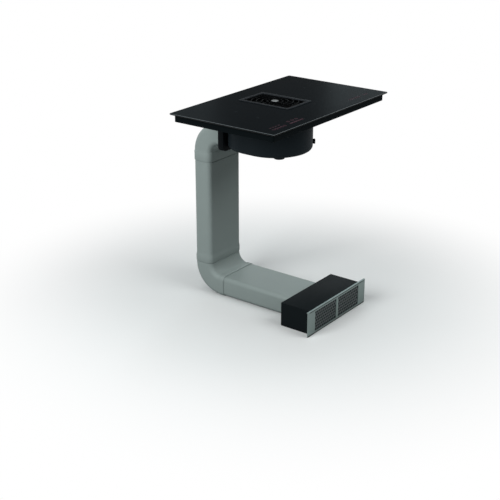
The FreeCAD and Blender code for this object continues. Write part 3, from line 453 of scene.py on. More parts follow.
def rubber_and_groove_shade(colours):
    # Foam sealing tape: dead black, open and crumbly; the same black in the plinth's groove is painted
    # shade.
    return surface(
        "Black foam rubber and groove shade", colours.rubber, grain=1.5, spread=0.3, gloss=(0.75, 0.92), bump=0.06,
    )


def copper_winding(colours):
    # Enamelled copper strands: warm and shiny, the strands drawn coarser than real to show.
    return surface(
        "Enamelled copper", colours.copper, grain=1.2, spread=0.3, gloss=(0.25, 0.45),
        stretch=(1, 1, 0.2), shader={"Metallic": 1},
    )


def mica_sheet(colours):
    # Pressed mica: pale and flaky.
    return surface("Pressed mica", colours.mica, grain=5, spread=0.12, gloss=(0.4, 0.6))


def circuit_board(colours):
    # Solder resist on glass-epoxy board: green, satin, with faint patches of tone.
    return surface("Green solder resist", colours.board, grain=4, spread=0.3, gloss=(0.3, 0.45))


def cream_plastic(colours):
    # Moulded polyamide of a terminal strip: pale, even and satin.
    return surface("Cream polyamide", colours.cream, grain=3, spread=0.06, gloss=(0.4, 0.55))


def sintered_ferrite(colours):
    # Sintered ferrite: dark grey and dull, its grain drawn coarser than real to show.
    return surface("Sintered ferrite", colours.ferrite, grain=0.8, spread=0.2, gloss=(0.55, 0.7))


def dark_mesh(colours):
    # Black-coated perforated steel: its webs catch a little more light than the dark behind them.
    return surface("Coated perforated steel", colours.mesh, grain=2, spread=0.2, gloss=(0.35, 0.5))


def charcoal_pellets(colours):
    # Pressed activated charcoal: dull black grains of about 4 mm with deep gaps between them.
    material, tree = material_named("Activated charcoal")
    if tree.nodes:
        return material
    grain, gap_depth = 4 * MM, 1.2 * MM
    # Painted light and shade: each grain is lighter at its crown and darker towards the gaps between
    # grains.
    lit_crown, gap = shade(colours.charcoal, 1.7), shade(colours.charcoal, 0.25)
    place = add_node(tree, "ShaderNodeTexCoord")
    edge = add_node(tree, "ShaderNodeTexVoronoi", inputs={
        "Vector": place.outputs["Object"], "Scale": 1 / grain,
    }).outputs["Distance"]
    tint = add_node(tree, "ShaderNodeMix", {"data_type": "RGBA"}, {"Factor": edge, "A": lit_crown, "B": gap})
    relief = add_node(tree, "ShaderNodeBump", {"invert": True}, {"Height": edge, "Distance": gap_depth})
    skin = add_node(tree, "ShaderNodeBsdfPrincipled", inputs={
        "Base Color": tint.outputs["Result"], "Roughness": 0.8, "Normal": relief.outputs["Normal"],
    })
    add_node(tree, "ShaderNodeOutputMaterial", inputs={"Surface": skin.outputs["BSDF"]})
    return material


def seen_directly(tree):
    """1 for camera, mirror and see-through rays, 0 for the light that falls on the object."""
    rays = add_node(tree, "ShaderNodeLightPath").outputs
    seen = rays["Is Camera Ray"]
    for kind in ("Is Glossy Ray", "Is Transmission Ray"):
        either = add_node(tree, "ShaderNodeMath", {"operation": "MAXIMUM"}, {0: seen, 1: rays[kind]})
        seen = either.outputs["Value"]
    return seen


def studio_floor(colours):
    # Pale painted floor that keeps the shadow near the object and turns white further out.
    material = surface(
        "Pale studio floor", colours.floor, grain=400, spread=0.01, gloss=(0.8, 0.9),
        shader={"Specular IOR Level": 0.1},
    )
    tree = material.node_tree
    place = add_node(tree, "ShaderNodeTexCoord")
    reach = add_node(tree, "ShaderNodeVectorMath", {"operation": "LENGTH"}, {0: place.outputs["Object"]})
    far = add_node(tree, "ShaderNodeMapRange", {"interpolation_type": "SMOOTHSTEP"}, {
        "Value": reach.outputs["Value"], "From Min": FLOOR_FADE[0], "From Max": FLOOR_FADE[1],
    })
    direct = seen_directly(tree)
    share = add_node(tree, "ShaderNodeMath", {"operation": "MULTIPLY"}, {
        0: far.outputs["Result"], 1: direct,
    })
    output = next(node for node in tree.nodes if node.type == "OUTPUT_MATERIAL")
    paint = next(node for node in tree.nodes if node.type == "BSDF_PRINCIPLED")
    # The floor throws back less light than it shows, so that upright faces keep their shade.
    bounce = add_node(tree, "ShaderNodeBsdfDiffuse", inputs={"Color": shade(colours.floor, FLOOR_BOUNCE)})
    ground = add_node(tree, "ShaderNodeMixShader", inputs={
        0: direct, 1: bounce.outputs["BSDF"], 2: paint.outputs["BSDF"],
    })
    white = add_node(tree, "ShaderNodeEmission", inputs={"Color": (1, 1, 1, 1), "Strength": 1})
    blend = add_node(tree, "ShaderNodeMixShader", inputs={
        0: share.outputs["Value"], 1: ground.outputs["Shader"], 2: white.outputs["Emission"],
    })
    tree.links.new(blend.outputs["Shader"], output.inputs["Surface"])
    return material


# Shapes

def weld(bm):
    """Merge doubles and turn every face outwards."""
    bmesh.ops.remove_doubles(bm, verts=bm.verts, dist=WELD)
    bmesh.ops.recalc_face_normals(bm, faces=bm.faces)


def new_object(name, bm, finishes):
    """Object at the origin with the shape of a bmesh."""
    mesh = bpy.data.meshes.new(name)
    bm.to_mesh(mesh)
    bm.free()
    for finish in finishes:
        mesh.materials.append(finish)
    item = bpy.data.objects.new(name, mesh)
    bpy.context.scene.collection.objects.link(item)
    return item


def finish_piece(name, bm, body, finishes, stands_for=()):
    """Turn a bmesh into a piece that rides a body and stands for CAD nodes."""
    weld(bm)
    piece = new_object(name, bm, finishes)
    piece.data.shade_smooth()
    piece.data.set_sharp_from_angle(angle=SMOOTH_ANGLE)
    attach(piece, body)
    if stands_for:
        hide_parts(*stands_for)


def of_kind(items, kind):
    return [item for item in items if isinstance(item, kind)]


def extrude(bm, faces, step, base=False):
    """Push faces along a step and return those at the far end; a loose sheet keeps its base."""
    made = bmesh.ops.extrude_face_region(bm, geom=faces)["geom"]
    bmesh.ops.translate(bm, verts=of_kind(made, bmesh.types.BMVert), vec=step)
    if not base:
        bmesh.ops.delete(bm, geom=faces, context="FACES")
    return of_kind(made, bmesh.types.BMFace)


def lengthen(bm, edges, step):
    """Walls from an edge loop along a step; the loop at the far end is returned."""
    made = bmesh.ops.extrude_edge_only(bm, edges=edges)["geom"]
    bmesh.ops.translate(bm, verts=of_kind(made, bmesh.types.BMVert), vec=step)
    return of_kind(made, bmesh.types.BMEdge)


def soften(bm, radius, chosen=None, segments=2, material=-1):
    """Round every edge that turns sharply, or only the chosen ones."""
    weld(bm)
    sharp = [
        edge for edge in bm.edges
        if len(edge.link_faces) == 2 and edge.calc_face_angle() > SHARP_ANGLE
        and (chosen is None or chosen(edge))
    ]
    bmesh.ops.bevel(
        bm, geom=sharp, offset=radius, affect="EDGES", segments=segments, profile=0.5,
        material=material, clamp_overlap=True,
    )


def sheet_place(spot, width=1, height=1, upright=True):
    """Matrix that stretches a unit square about a spot and stands it square to Y or leaves it flat."""
    turn = Matrix.Rotation(QUARTER_TURN if upright else 0, 4, "X")
    return Matrix.Translation(spot) @ turn @ Matrix.Diagonal((width, height, 1, 1))


def rounded_face(bm, spot, width, height, corner, upright=False):
    """Face of a rounded rectangle about a spot, flat or standing square to Y."""
    known = set(bm.faces)
    place = sheet_place(spot, width, height, upright)
    corners = bmesh.ops.create_grid(bm, x_segments=1, y_segments=1, size=0.5, matrix=place)["verts"]
    if corner:
        bmesh.ops.bevel(
            bm, geom=corners, offset=corner, affect="VERTICES", segments=CORNER_STEPS, profile=0.5,
            material=-1,
        )
    return next(face for face in bm.faces if face not in known)


def rounded_loop(bm, spot, width, height, corner, upright=False):
    """Edge loop of a rounded rectangle."""
    face = rounded_face(bm, spot, width, height, corner, upright)
    edges = list(face.edges)
    bmesh.ops.delete(bm, geom=[face], context="FACES_ONLY")
    return edges


def bridge(bm, start, end, axis=Z):
    """Walls between two loops. The second stands off meanwhile, so that loops in one plane don't twist."""
    verts = list({vert for edge in end for vert in edge.verts})
    bmesh.ops.translate(bm, verts=verts, vec=axis * STAND_OFF)
    faces = bmesh.ops.bridge_loops(bm, edges=start + end)["faces"]
    bmesh.ops.translate(bm, verts=verts, vec=-axis * STAND_OFF)
    return faces


def shell(spot, axis, profile):
    """New bmesh of walls through rounded outlines at levels along an axis, and back to the first."""
    bm = bmesh.new()
    base = spot - axis * spot.dot(axis)
    loops = [rounded_loop(bm, base + axis * level, *outline, axis == Y) for level, outline in profile]
    for start, end in zip(loops, loops[1:] + loops[:1]):
        bridge(bm, start, end, axis)
    return bm


def tube(low, high, outer, inner):
    """Profile of a straight tube between two levels."""
    return [(low, outer), (high, outer), (high, inner), (low, inner)]


def block(bm, low, high):
    """Box between two corners."""
    place = Matrix.Translation((low + high) / 2) @ Matrix.Diagonal((*(high - low), 1))
    bmesh.ops.create_cube(bm, size=1, matrix=place)


def foot_point(low, high):
    """Point at height 0 under the middle of a box."""
    return Vector(((low.x + high.x) / 2, (low.y + high.y) / 2, 0))


def turned(bm, centre, profile, closed=True):
    """Points of (radius, height) spun a full turn about an upright axis."""
    verts = [bm.verts.new(centre + Vector((radius, 0, height))) for radius, height in profile]
    ends = verts[1:] + verts[:1] if closed else verts[1:]
    edges = [bm.edges.new(pair) for pair in zip(verts, ends)]
    bmesh.ops.spin(
        bm, geom=verts + edges, cent=centre, axis=Z, angle=FULL_TURN, steps=TURN_STEPS, use_merge=True,
    )


def soft_bar(inner, outer, foot, top, edge):
    """Profile of a bar whose upper edges are rounded off."""
    bite = edge * (1 - math.sqrt(0.5))
    return [
        (inner, foot), (outer, foot), (outer, top - edge), (outer - bite, top - bite), (outer - edge, top),
        (inner + edge, top), (inner + bite, top - bite), (inner, top - edge),
    ]


def cut(bm, spot, normal, clear=False):
    """Cut everything along a plane, and clear what lies beyond it if asked."""
    geom = [*bm.verts, *bm.edges, *bm.faces]
    bmesh.ops.bisect_plane(bm, geom=geom, plane_co=spot, plane_no=normal, clear_outer=clear)


def trim(bm, centre, half_width, half_height):
    """Clear everything outside a rectangle about a centre in the XY plane."""
    for normal, reach in ((X, half_width), (-X, half_width), (Y, half_height), (-Y, half_height)):
        cut(bm, centre + normal * reach, normal, clear=True)


def open_sheet(bm, strand):
    """Turn faces into holes between strands, and make the sheet as thick as they are wide."""
    wide = [face for face in bm.faces if face.calc_area() > (LEAST_OPENING * strand) ** 2]
    bmesh.ops.inset_individual(bm, faces=wide, thickness=strand / 2, use_even_offset=True)
    bmesh.ops.delete(bm, geom=wide, context="FACES_ONLY")
    weld(bm)
    bmesh.ops.solidify(bm, geom=list(bm.faces), thickness=strand)


def diamond_sheet(bm, width, height, diamond, strand, shift):
    """Expanded metal about the origin: a grid stood on its points, trimmed to a rectangle and opened."""
    count = math.ceil((width + height) / diamond) + 2
    place = Matrix.Translation((shift, 0, 0)) @ Matrix.Rotation(QUARTER_TURN / 2, 4, "Z")
    side = count * diamond / math.sqrt(2)
    bmesh.ops.create_grid(bm, x_segments=count, y_segments=count, size=side / 2, matrix=place)
    trim(bm, Vector(), width / 2, height / 2)
    open_sheet(bm, strand)


def reading_order(face):
    """Row and column of a face, as whole numbers to sort by."""
    return tuple(round(part / WELD) for part in face.calc_center_median().yx)


def punched_sheet(bm, width, height, pitch, hole, sheet):
    """Perforated sheet about the origin, with round holes whose every other row is shifted."""
    columns, rows = round(width / pitch), round(height / pitch)
    place = Matrix.Diagonal((width, height, 1, 1))
    bmesh.ops.create_grid(bm, x_segments=2 * columns, y_segments=rows, size=0.5, matrix=place)
    halves = sorted(bm.faces, key=reading_order)
    for row in range(rows):
        for start in range(row % 2, 2 * columns - 1, 2):
            first = row * 2 * columns + start
            cell = bmesh.ops.dissolve_faces(bm, faces=halves[first:first + 2])["region"][0]
            rim = list(cell.edges)
            place = Matrix.Translation(cell.calc_center_bounds())
            bmesh.ops.delete(bm, geom=[cell], context="FACES_ONLY")
            ring = bmesh.ops.create_circle(bm, segments=HOLE_STEPS, radius=hole / 2, matrix=place)["verts"]
            bridge(bm, rim, list({edge for vert in ring for edge in vert.link_edges}))
    weld(bm)
    bmesh.ops.solidify(bm, geom=list(bm.faces), thickness=sheet)


def softened_copy(name, node, body, finish, edge):
    """Copy of a CAD node, welded, with its sharp edges rounded."""
    bm = bmesh.new()
    bm.from_mesh(frame["nodes"][node].data)
    bmesh.ops.remove_doubles(bm, verts=bm.verts, dist=WELD)
    bmesh.ops.dissolve_limit(bm, angle_limit=FLAT_ANGLE, verts=bm.verts, edges=bm.edges)
    soften(bm, edge)
    for face in bm.faces:
        face.material_index = 0
    finish_piece(name, bm, body, [finish], [node])


def settings(context):
    """The scene's sizes and colours."""
    return context.scene.cooktop_sizes, context.scene.cooktop_colours


# Operators

class COOKTOP_OT_stage(Operator):
    """Pale floor, soft studio light and the camera"""

    bl_idname = "cooktop.stage"
    bl_label = "Stage"

    def execute(self, context):
        scene = context.scene
        scene.view_settings.view_transform = "Standard"
        self.floor(scene.cooktop_colours)
        self.world(scene)
        for name, values in LAMPS.items():
            self.lamp(scene, name, *values)
        self.camera(scene)
        return {"FINISHED"}

    def floor(self, colours):
        bm = bmesh.new()
        place = Matrix.Translation(-Z * FLOOR_DROP)
        bmesh.ops.create_grid(bm, x_segments=1, y_segments=1, size=FLOOR_REACH, matrix=place)
        floor = new_object("floor", bm, [studio_floor(colours)])

    def world(self, scene):
        scene.world = bpy.data.worlds.new("studio")
        tree = empty_tree(scene.world)
        strength = add_node(tree, "ShaderNodeMapRange", inputs={
            "Value": seen_directly(tree), "To Min": ROOM_LIGHT, "To Max": 1,
        })
        sky = add_node(tree, "ShaderNodeBackground", inputs={
            "Color": (1, 1, 1, 1), "Strength": strength.outputs["Result"],
        })
        add_node(tree, "ShaderNodeOutputWorld", inputs={"Surface": sky.outputs["Background"]})

    def lamp(self, scene, name, place, size, watts, tint):
        light = bpy.data.lights.new(name, "AREA")
        light.color = tint
        light.size = size
        light.energy = watts
        item = bpy.data.objects.new(name, light)
        item.location = place
        aim = (CAD_BOX[0] + CAD_BOX[1]) / 2 - item.location
        item.rotation_euler = aim.to_track_quat("-Z", "Y").to_euler()
        scene.collection.objects.link(item)

    def camera(self, scene):
        lens = bpy.data.cameras.new("camera")
        lens.sensor_width = CAMERA_SENSOR
        lens.lens = CAMERA_LENS
        scene.camera = bpy.data.objects.new("camera", lens)
        scene.camera.location = CAMERA_PLACE
        scene.camera.rotation_euler = (math.radians(CAMERA_TILT), 0, math.radians(CAMERA_TURN))
        scene.collection.objects.link(scene.camera)


class COOKTOP_OT_glass_top(Operator):
    """Bevelled glass with its cut-out"""

    bl_idname = "cooktop.glass_top"
    bl_label = "Glass top"

    def execute(self, context):
        sizes, colours = settings(context)
        low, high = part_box("glass_top")
        frame_low, frame_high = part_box("downdraft_frame")
        overlap = 2 * (sizes.frame_band - sizes.frame_wall - sizes.frame_play)
        cut_out = frame_high - frame_low - Vector((overlap, overlap, 0))
        plate = high - low
        middle = foot_point(low, high) + Z * low.z
        well = foot_point(frame_low, frame_high) + Z * low.z
        bm = bmesh.new()
        outer = rounded_loop(bm, middle, plate.x, plate.y, sizes.glass_corner)
        inner = rounded_loop(bm, well, cut_out.x, cut_out.y, sizes.cut_corner)
        extrude(bm, bridge(bm, outer, inner), Z * plate.z, base=True)

        def upper_rim(edge):
            spot = (edge.verts[0].co + edge.verts[1].co) / 2
            beyond = abs(spot.x - well.x) > cut_out.x or abs(spot.y - well.y) > cut_out.y
            return beyond and all(abs(vert.co.z - high.z) < WELD for vert in edge.verts)

        # The upper rim's bevel takes the lighter edge finish, partly a painted highlight.
        soften(bm, sizes.glass_bevel, upper_rim, segments=1, material=1)
        finishes = [glass_ceramic(colours), glass_edge_highlight(colours)]
        finish_piece("glass_plate", bm, "hob", finishes, ["glass_top"])
        return {"FINISHED"}


class COOKTOP_OT_printed_marks(Operator):
    """Touch keys and zone marks fired onto the glass"""

    bl_idname = "cooktop.printed_marks"
    bl_label = "Printed marks"

    def execute(self, context):
        sizes, colours = settings(context)
        self.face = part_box("glass_top")[1].z
        self.height = sizes.print_height
        outer, inner = (radius * MM for radius in KEY_RING)
        ring = [(inner, 0), (outer, 0), (outer, self.height), (inner, self.height)]
        keys = bmesh.new()
        for row in KEY_ROWS:
            for number, x in enumerate(row["x"]):
                turned(keys, Vector((x * MM, row["y"] * MM, self.face)), ring)
                self.bar(keys, x, row["y"], KEY_SIGN)
                if number % 2:
                    self.bar(keys, x, row["y"], KEY_SIGN[::-1])
        for row in BAR_ROWS:
            for x in row["x"]:
                self.bar(keys, x, row["y"], row["sign"])
        finish = fired_print("Red fired print", colours.red_print)
        finish_piece("touch_marks", keys, "hob", [finish])
        zones = bmesh.new()
        for x, y in ZONE_MARKS:
            self.bar(zones, x, y, ZONE_SIGN)
            self.bar(zones, x, y, ZONE_SIGN[::-1])
        finish = fired_print("Grey fired print", colours.grey_print)
        finish_piece("zone_marks", zones, "hob", [finish])
        return {"FINISHED"}

    def bar(self, bm, x, y, sign):
        """Printed stroke about a place, both in millimetres."""
        spot = Vector((x * MM, y * MM, self.face))
        reach = Vector((*sign, 0)) * MM / 2
        block(bm, spot - reach, spot + reach + Z * self.height)


class COOKTOP_OT_downdraft_frame(Operator):
    """Grey frame that lies on the glass, with its collar"""

    bl_idname = "cooktop.downdraft_frame"
    bl_label = "Downdraft frame"

    def execute(self, context):
        sizes, colours = settings(context)
        low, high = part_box("downdraft_frame")
        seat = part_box("glass_top")[1].z
        width, depth, _ = high - low
        band = 2 * sizes.frame_band
        wall = 2 * sizes.frame_wall
        corner = sizes.frame_corner
        rim = (width, depth, corner)
        opening = (width - band, depth - band, corner)
        collar = (width - band + wall, depth - band + wall, corner + sizes.frame_wall)
        bm = shell((low + high) / 2, Z, [
            (seat, rim), (high.z, rim), (high.z, opening), (low.z, opening), (low.z, collar),
            (seat, collar),
        ])
        soften(bm, sizes.small_edge)
        finish = anodised_frame(colours)
        finish_piece("intake_frame", bm, "hob", [finish], ["downdraft_frame"])
        return {"FINISHED"}


class COOKTOP_OT_ring_grille(Operator):
    """Ripple rings on crossed spokes inside a border, with a plain round badge"""

    bl_idname = "cooktop.ring_grille"
    bl_label = "Ring grille"

    def execute(self, context):
        sizes, colours = settings(context)
        low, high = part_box("downdraft_grille")
        casting = enamel_casting(colours)
        bars = self.bars(sizes, low, high)
        finish_piece("ring_bars", bars, "grille", [casting], ["downdraft_grille"])
        width, depth, _ = high - low
        border = sizes.ring_border
        rim = (width, depth, sizes.frame_corner)
        opening = (width - 2 * border, depth - 2 * border, sizes.frame_corner - border)
        rail = shell((low + high) / 2, Z, tube(low.z, high.z, rim, opening))
        soften(rail, sizes.ring_edge)
        finish_piece("grille_rail", rail, "grille", [casting])
        self.badge(polished_badge(colours))
        return {"FINISHED"}

    def bars(self, sizes, low, high):
        """Rings cut off at the border, with the hub and the spokes."""
        centre = foot_point(low, high)
        half = (high - low) / 2
        bar, edge, hub = sizes.ring_bar, sizes.ring_edge, sizes.hub_radius
        bm = bmesh.new()
        radius = sizes.ring_first
        while radius + bar < math.hypot(half.x, half.y):
            foot = high.z - sizes.ring_depth
            turned(bm, centre, soft_bar(radius - bar / 2, radius + bar / 2, foot, high.z, edge))
            radius += sizes.ring_pitch
        long, short = half.y - sizes.ring_border / 2, half.x - sizes.ring_border / 2
        trim(bm, centre, short, long)
        weld(bm)
        bmesh.ops.holes_fill(bm, edges=[item for item in bm.edges if item.is_boundary])
        turned(bm, centre, [
            (0, low.z), (hub, low.z), (hub, high.z - edge), (hub - edge, high.z), (0, high.z),
        ], closed=False)
        for reach in (Vector((short, bar / 2, 0)), Vector((bar / 2, long, 0))):
            block(bm, centre - reach + Z * low.z, centre + reach + Z * (high.z - bar / 2))
        return bm

    def badge(self, finish):
        low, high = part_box("grille_badge")
        radius = (high.x - low.x) / 2
        edge = (high.z - low.z) / 3
        shoulder = high.z - edge
        groove_heights = (high.z, shoulder, shoulder, high.z)
        bm = bmesh.new()
        turned(bm, foot_point(low, high), [
            (0, low.z), (radius, low.z), (radius, shoulder), (radius - edge, high.z),
            *((radius * share, height) for share, height in zip(BADGE_GROOVE, groove_heights)), (0, high.z),
        ], closed=False)
        finish_piece("round_badge", bm, "grille", [finish], ["grille_badge"])


class COOKTOP_OT_grease_filter(Operator):
    """Grease filter cassette with offset layers of expanded metal"""

    bl_idname = "cooktop.grease_filter"
    bl_label = "Grease filter"

    def execute(self, context):
        sizes, colours = settings(context)
        finish = shaded_filter_aluminium(colours)
        low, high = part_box("grease_filter_frame")
        middle = (low + high) / 2
        width, depth, _ = high - low
        rims = 2 * sizes.cassette_rim
        rim, window = (width, depth, sizes.frame_corner), (width - rims, depth - rims, 0)
        bm = shell(middle, Z, tube(low.z, high.z, rim, window))
        soften(bm, sizes.small_edge)
        finish_piece(
            "cassette_frame", bm, "grease_filter", [finish], ["grease_filter_frame"],
        )
        low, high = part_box("grease_filter_mesh")
        area = high.x - low.x, high.y - low.y
        strand = sizes.grease_strand
        layers = bmesh.new()
        for number in range(GREASE_LAYERS):
            layer = bmesh.new()
            shift = sizes.grease_pitch * number / GREASE_LAYERS
            diamond_sheet(layer, *area, sizes.grease_pitch, strand, shift)
            rise = low.z + strand + number * (high.z - low.z - strand) / (GREASE_LAYERS - 1)
            bmesh.ops.translate(layer, verts=layer.verts, vec=(middle.x, middle.y, rise))
            self.merge(layers, layer)
        finish_piece(
            "expanded_layers", layers, "grease_filter", [finish], ["grease_filter_mesh"],
        )
        return {"FINISHED"}

    def merge(self, whole, layer):
        mesh = bpy.data.meshes.new("layer")
        layer.to_mesh(mesh)
        layer.free()
        whole.from_mesh(mesh)
        bpy.data.meshes.remove(mesh)


class COOKTOP_OT_blower_fittings(Operator):
    """Drain cap, lead gland and outlet flange of the blower"""

    bl_idname = "cooktop.blower_fittings"
    bl_label = "Blower fittings"

    def execute(self, context):
        sizes, colours = settings(context)
        nylon = filled_nylon(colours)
        edge = sizes.small_edge
        low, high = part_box("drain_cap")
        radius = (high.x - low.x) / 2
        foot = radius * CAP_FOOT
        lip, dish = (foot * share for share in CAP_DISH)
        bm = bmesh.new()
        turned(bm, foot_point(low, high), [
            (0, high.z), (radius, high.z), (radius, high.z - edge), (foot + edge, low.z + edge),
            (foot - edge, low.z), (lip, low.z), (dish, low.z + edge), (0, low.z + edge),
        ], closed=False)
        finish_piece("drum_cap", bm, "hob", [black_moulding(colours)], ["drain_cap"])
        softened_copy("lead_gland", "motor_lead_gland", "hob", nylon, sizes.gland_edge)
        softened_copy("duct_flange", "outlet_flange", "hob", nylon, edge)
        return {"FINISHED"}


class COOKTOP_OT_flat_duct(Operator):
    """Two flat ducts and their two elbows"""

    bl_idname = "cooktop.flat_duct"
    bl_label = "Flat duct"

    def execute(self, context):
        self.sizes, colours = settings(context)
        self.finish = duct_plastic(colours)
        low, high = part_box("vertical_duct")
        self.width, self.depth = high.x - low.x, high.y - low.y
        gap, wall, step = self.sizes.socket_gap, self.sizes.duct_wall, self.sizes.neck_step
        self.socket = gap + self.sizes.socket_wall
        self.riser(low, high)
        low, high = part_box("horizontal_duct")
        self.straight("floor_duct", "horizontal_duct", (low + high) / 2, Y, tube(low.y, high.y, 0, -wall))
        self.elbow("top_elbow", "upper_elbow", 1, (self.socket, gap))
        self.elbow("floor_elbow", "lower_elbow", -1, (-step, -wall))
        return {"FINISHED"}

    def outline(self, growth):
        """The duct's outline, grown all round."""
        return self.width + 2 * growth, self.depth + 2 * growth, self.sizes.duct_corner + growth

    def straight(self, name, node, spot, axis, profile):
        """Duct along an axis from a closed profile of levels and growths."""
        bm = shell(spot, axis, [(level, self.outline(growth)) for level, growth in profile])
        soften(bm, self.sizes.small_edge)
        finish_piece(name, bm, "hob", [self.finish], [node])

    def riser(self, low, high):
        """Upright duct, widened at its foot and drawn in under the elbow above it."""
        sizes = self.sizes
        gap, wall, step, fade = sizes.socket_gap, sizes.duct_wall, sizes.neck_step, sizes.bell_fade
        lip = low.z + sizes.joint_gap
        recess = low.z + sizes.spigot_depth
        bell = low.z + sizes.bell_length
        shoulder = bell + sizes.bell_taper
        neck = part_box("upper_elbow")[0].z - sizes.joint_gap
        foot = [(lip, self.socket), (bell - fade, self.socket), (bell, self.socket)]
        trunk = [(shoulder, 0), (shoulder + fade, 0), (neck - step, 0), (neck, -step), (high.z, -step)]
        inside = [(high.z, -wall), (recess, -wall), (recess, gap), (lip, gap)]
        self.straight("riser_duct", "vertical_duct", (low + high) / 2, Z, foot + trunk + inside)

    def elbow(self, name, node, rise, tail_growths):
        """Elbow whose level leg is above its hinge where rise is 1 and below it where it is -1."""
        sizes = self.sizes
        low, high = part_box(node)
        half = self.depth / 2 + self.socket
        level = high.z - half if rise > 0 else low.z + half
        hinge = Vector((0, high.y - half - sizes.bend_radius, level - rise * sizes.bend_radius))
        foot = Vector((0, high.y - half, hinge.z))
        tail = Z * (low.z - hinge.z if rise > 0 else high.z - hinge.z)
        legs = self.socket, sizes.socket_gap
        bends = self.socket - sizes.bend_step, -sizes.duct_wall
        bm = bmesh.new()
        rims = []
        for leg, bend, growth in zip(legs, bends, tail_growths):
            mouth = rounded_loop(bm, Vector((0, low.y, level)), *self.outline(leg), True)
            throat = rounded_loop(bm, Vector((0, hinge.y, level)), *self.outline(bend), True)
            bridge(bm, lengthen(bm, mouth, Y * (hinge.y - low.y)), throat, Y)
            angle = -rise * QUARTER_TURN
            bent = bmesh.ops.spin(bm, geom=throat, cent=hinge, axis=X, angle=angle, steps=BEND_STEPS)
            collar = rounded_loop(bm, foot, *self.outline(growth))
            bridge(bm, of_kind(bent["geom_last"], bmesh.types.BMEdge), collar)
            rims.append((mouth, lengthen(bm, collar, tail)))
        for outer_rim, inner_rim, axis in zip(*rims, (Y, Z)):
            bridge(bm, outer_rim, inner_rim, axis)
        soften(bm, sizes.small_edge)
        finish_piece(name, bm, "hob", [self.finish], [node])


class COOKTOP_OT_filter_box(Operator):
    """Screwed lid of the filter box"""

    bl_idname = "cooktop.filter_box"
    bl_label = "Filter box"

    def execute(self, context):
        sizes, colours = settings(context)
        low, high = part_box("filter_box_lid")
        bm = bmesh.new()
        block(bm, low, high)
        soften(bm, sizes.small_edge)
        inset = sizes.screw_inset
        head = [(radius * MM, height * MM) for radius, height in SCREW_HEAD]
        for x in (low.x + inset, (low.x + high.x) / 2, high.x - inset):
            for y in (low.y + inset, high.y - inset):
                turned(bm, Vector((x, y, high.z)), head, closed=False)
        finish_piece("box_lid", bm, "hob", [powder_coat(colours)], ["filter_box_lid"])
        return {"FINISHED"}


class COOKTOP_OT_charcoal_cartridges(Operator):
    """Charcoal blocks in their frames, behind square grids"""

    bl_idname = "cooktop.charcoal_cartridges"
    bl_label = "Charcoal cartridges"

    def execute(self, context):
        sizes, colours = settings(context)
        moulding = [black_moulding(colours)]
        rim, cell = sizes.cartridge_rim, sizes.cartridge_cell
        for side in SIDES:
            node = "charcoal_cartridge_" + side
            low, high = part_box(node)
            middle = (low + high) / 2
            width, _, height = high - low
            window = width - 2 * rim, height - 2 * rim
            bm = shell(middle, Y, tube(low.y, high.y, (width, height, 0), (*window, 0)))
            soften(bm, sizes.small_edge)
            finish_piece("cartridge_frame_" + side, bm, "filter_drawer", moulding, [node])
            grid = bmesh.new()
            place = sheet_place((middle.x, low.y + rim / 2, middle.z), *window)
            columns, rows = (round(reach / cell) for reach in window)
            bmesh.ops.create_grid(grid, x_segments=columns, y_segments=rows, size=0.5, matrix=place)
            open_sheet(grid, sizes.cartridge_strand)
            finish_piece("cartridge_grid_" + side, grid, "filter_drawer", moulding)
            self.pellets(side, charcoal_pellets(colours))
        return {"FINISHED"}

    def pellets(self, side, finish):
        node = "charcoal_block_" + side
        low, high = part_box(node)
        middle = (low + high) / 2
        bm = bmesh.new()
        block(bm, low, high)
        soften(bm, PELLET_EDGE * MM)
        bmesh.ops.subdivide_edges(bm, edges=bm.edges, cuts=PELLET_CUTS, use_grid_fill=True)
        for vert in bm.verts:
            lump = abs(noise.noise(vert.co / (PELLET_SIZE * MM)))
            vert.co -= (vert.co - middle).normalized() * lump * PELLET_DEPTH * MM
        finish_piece("charcoal_pellets_" + side, bm, "filter_drawer", [finish], [node])


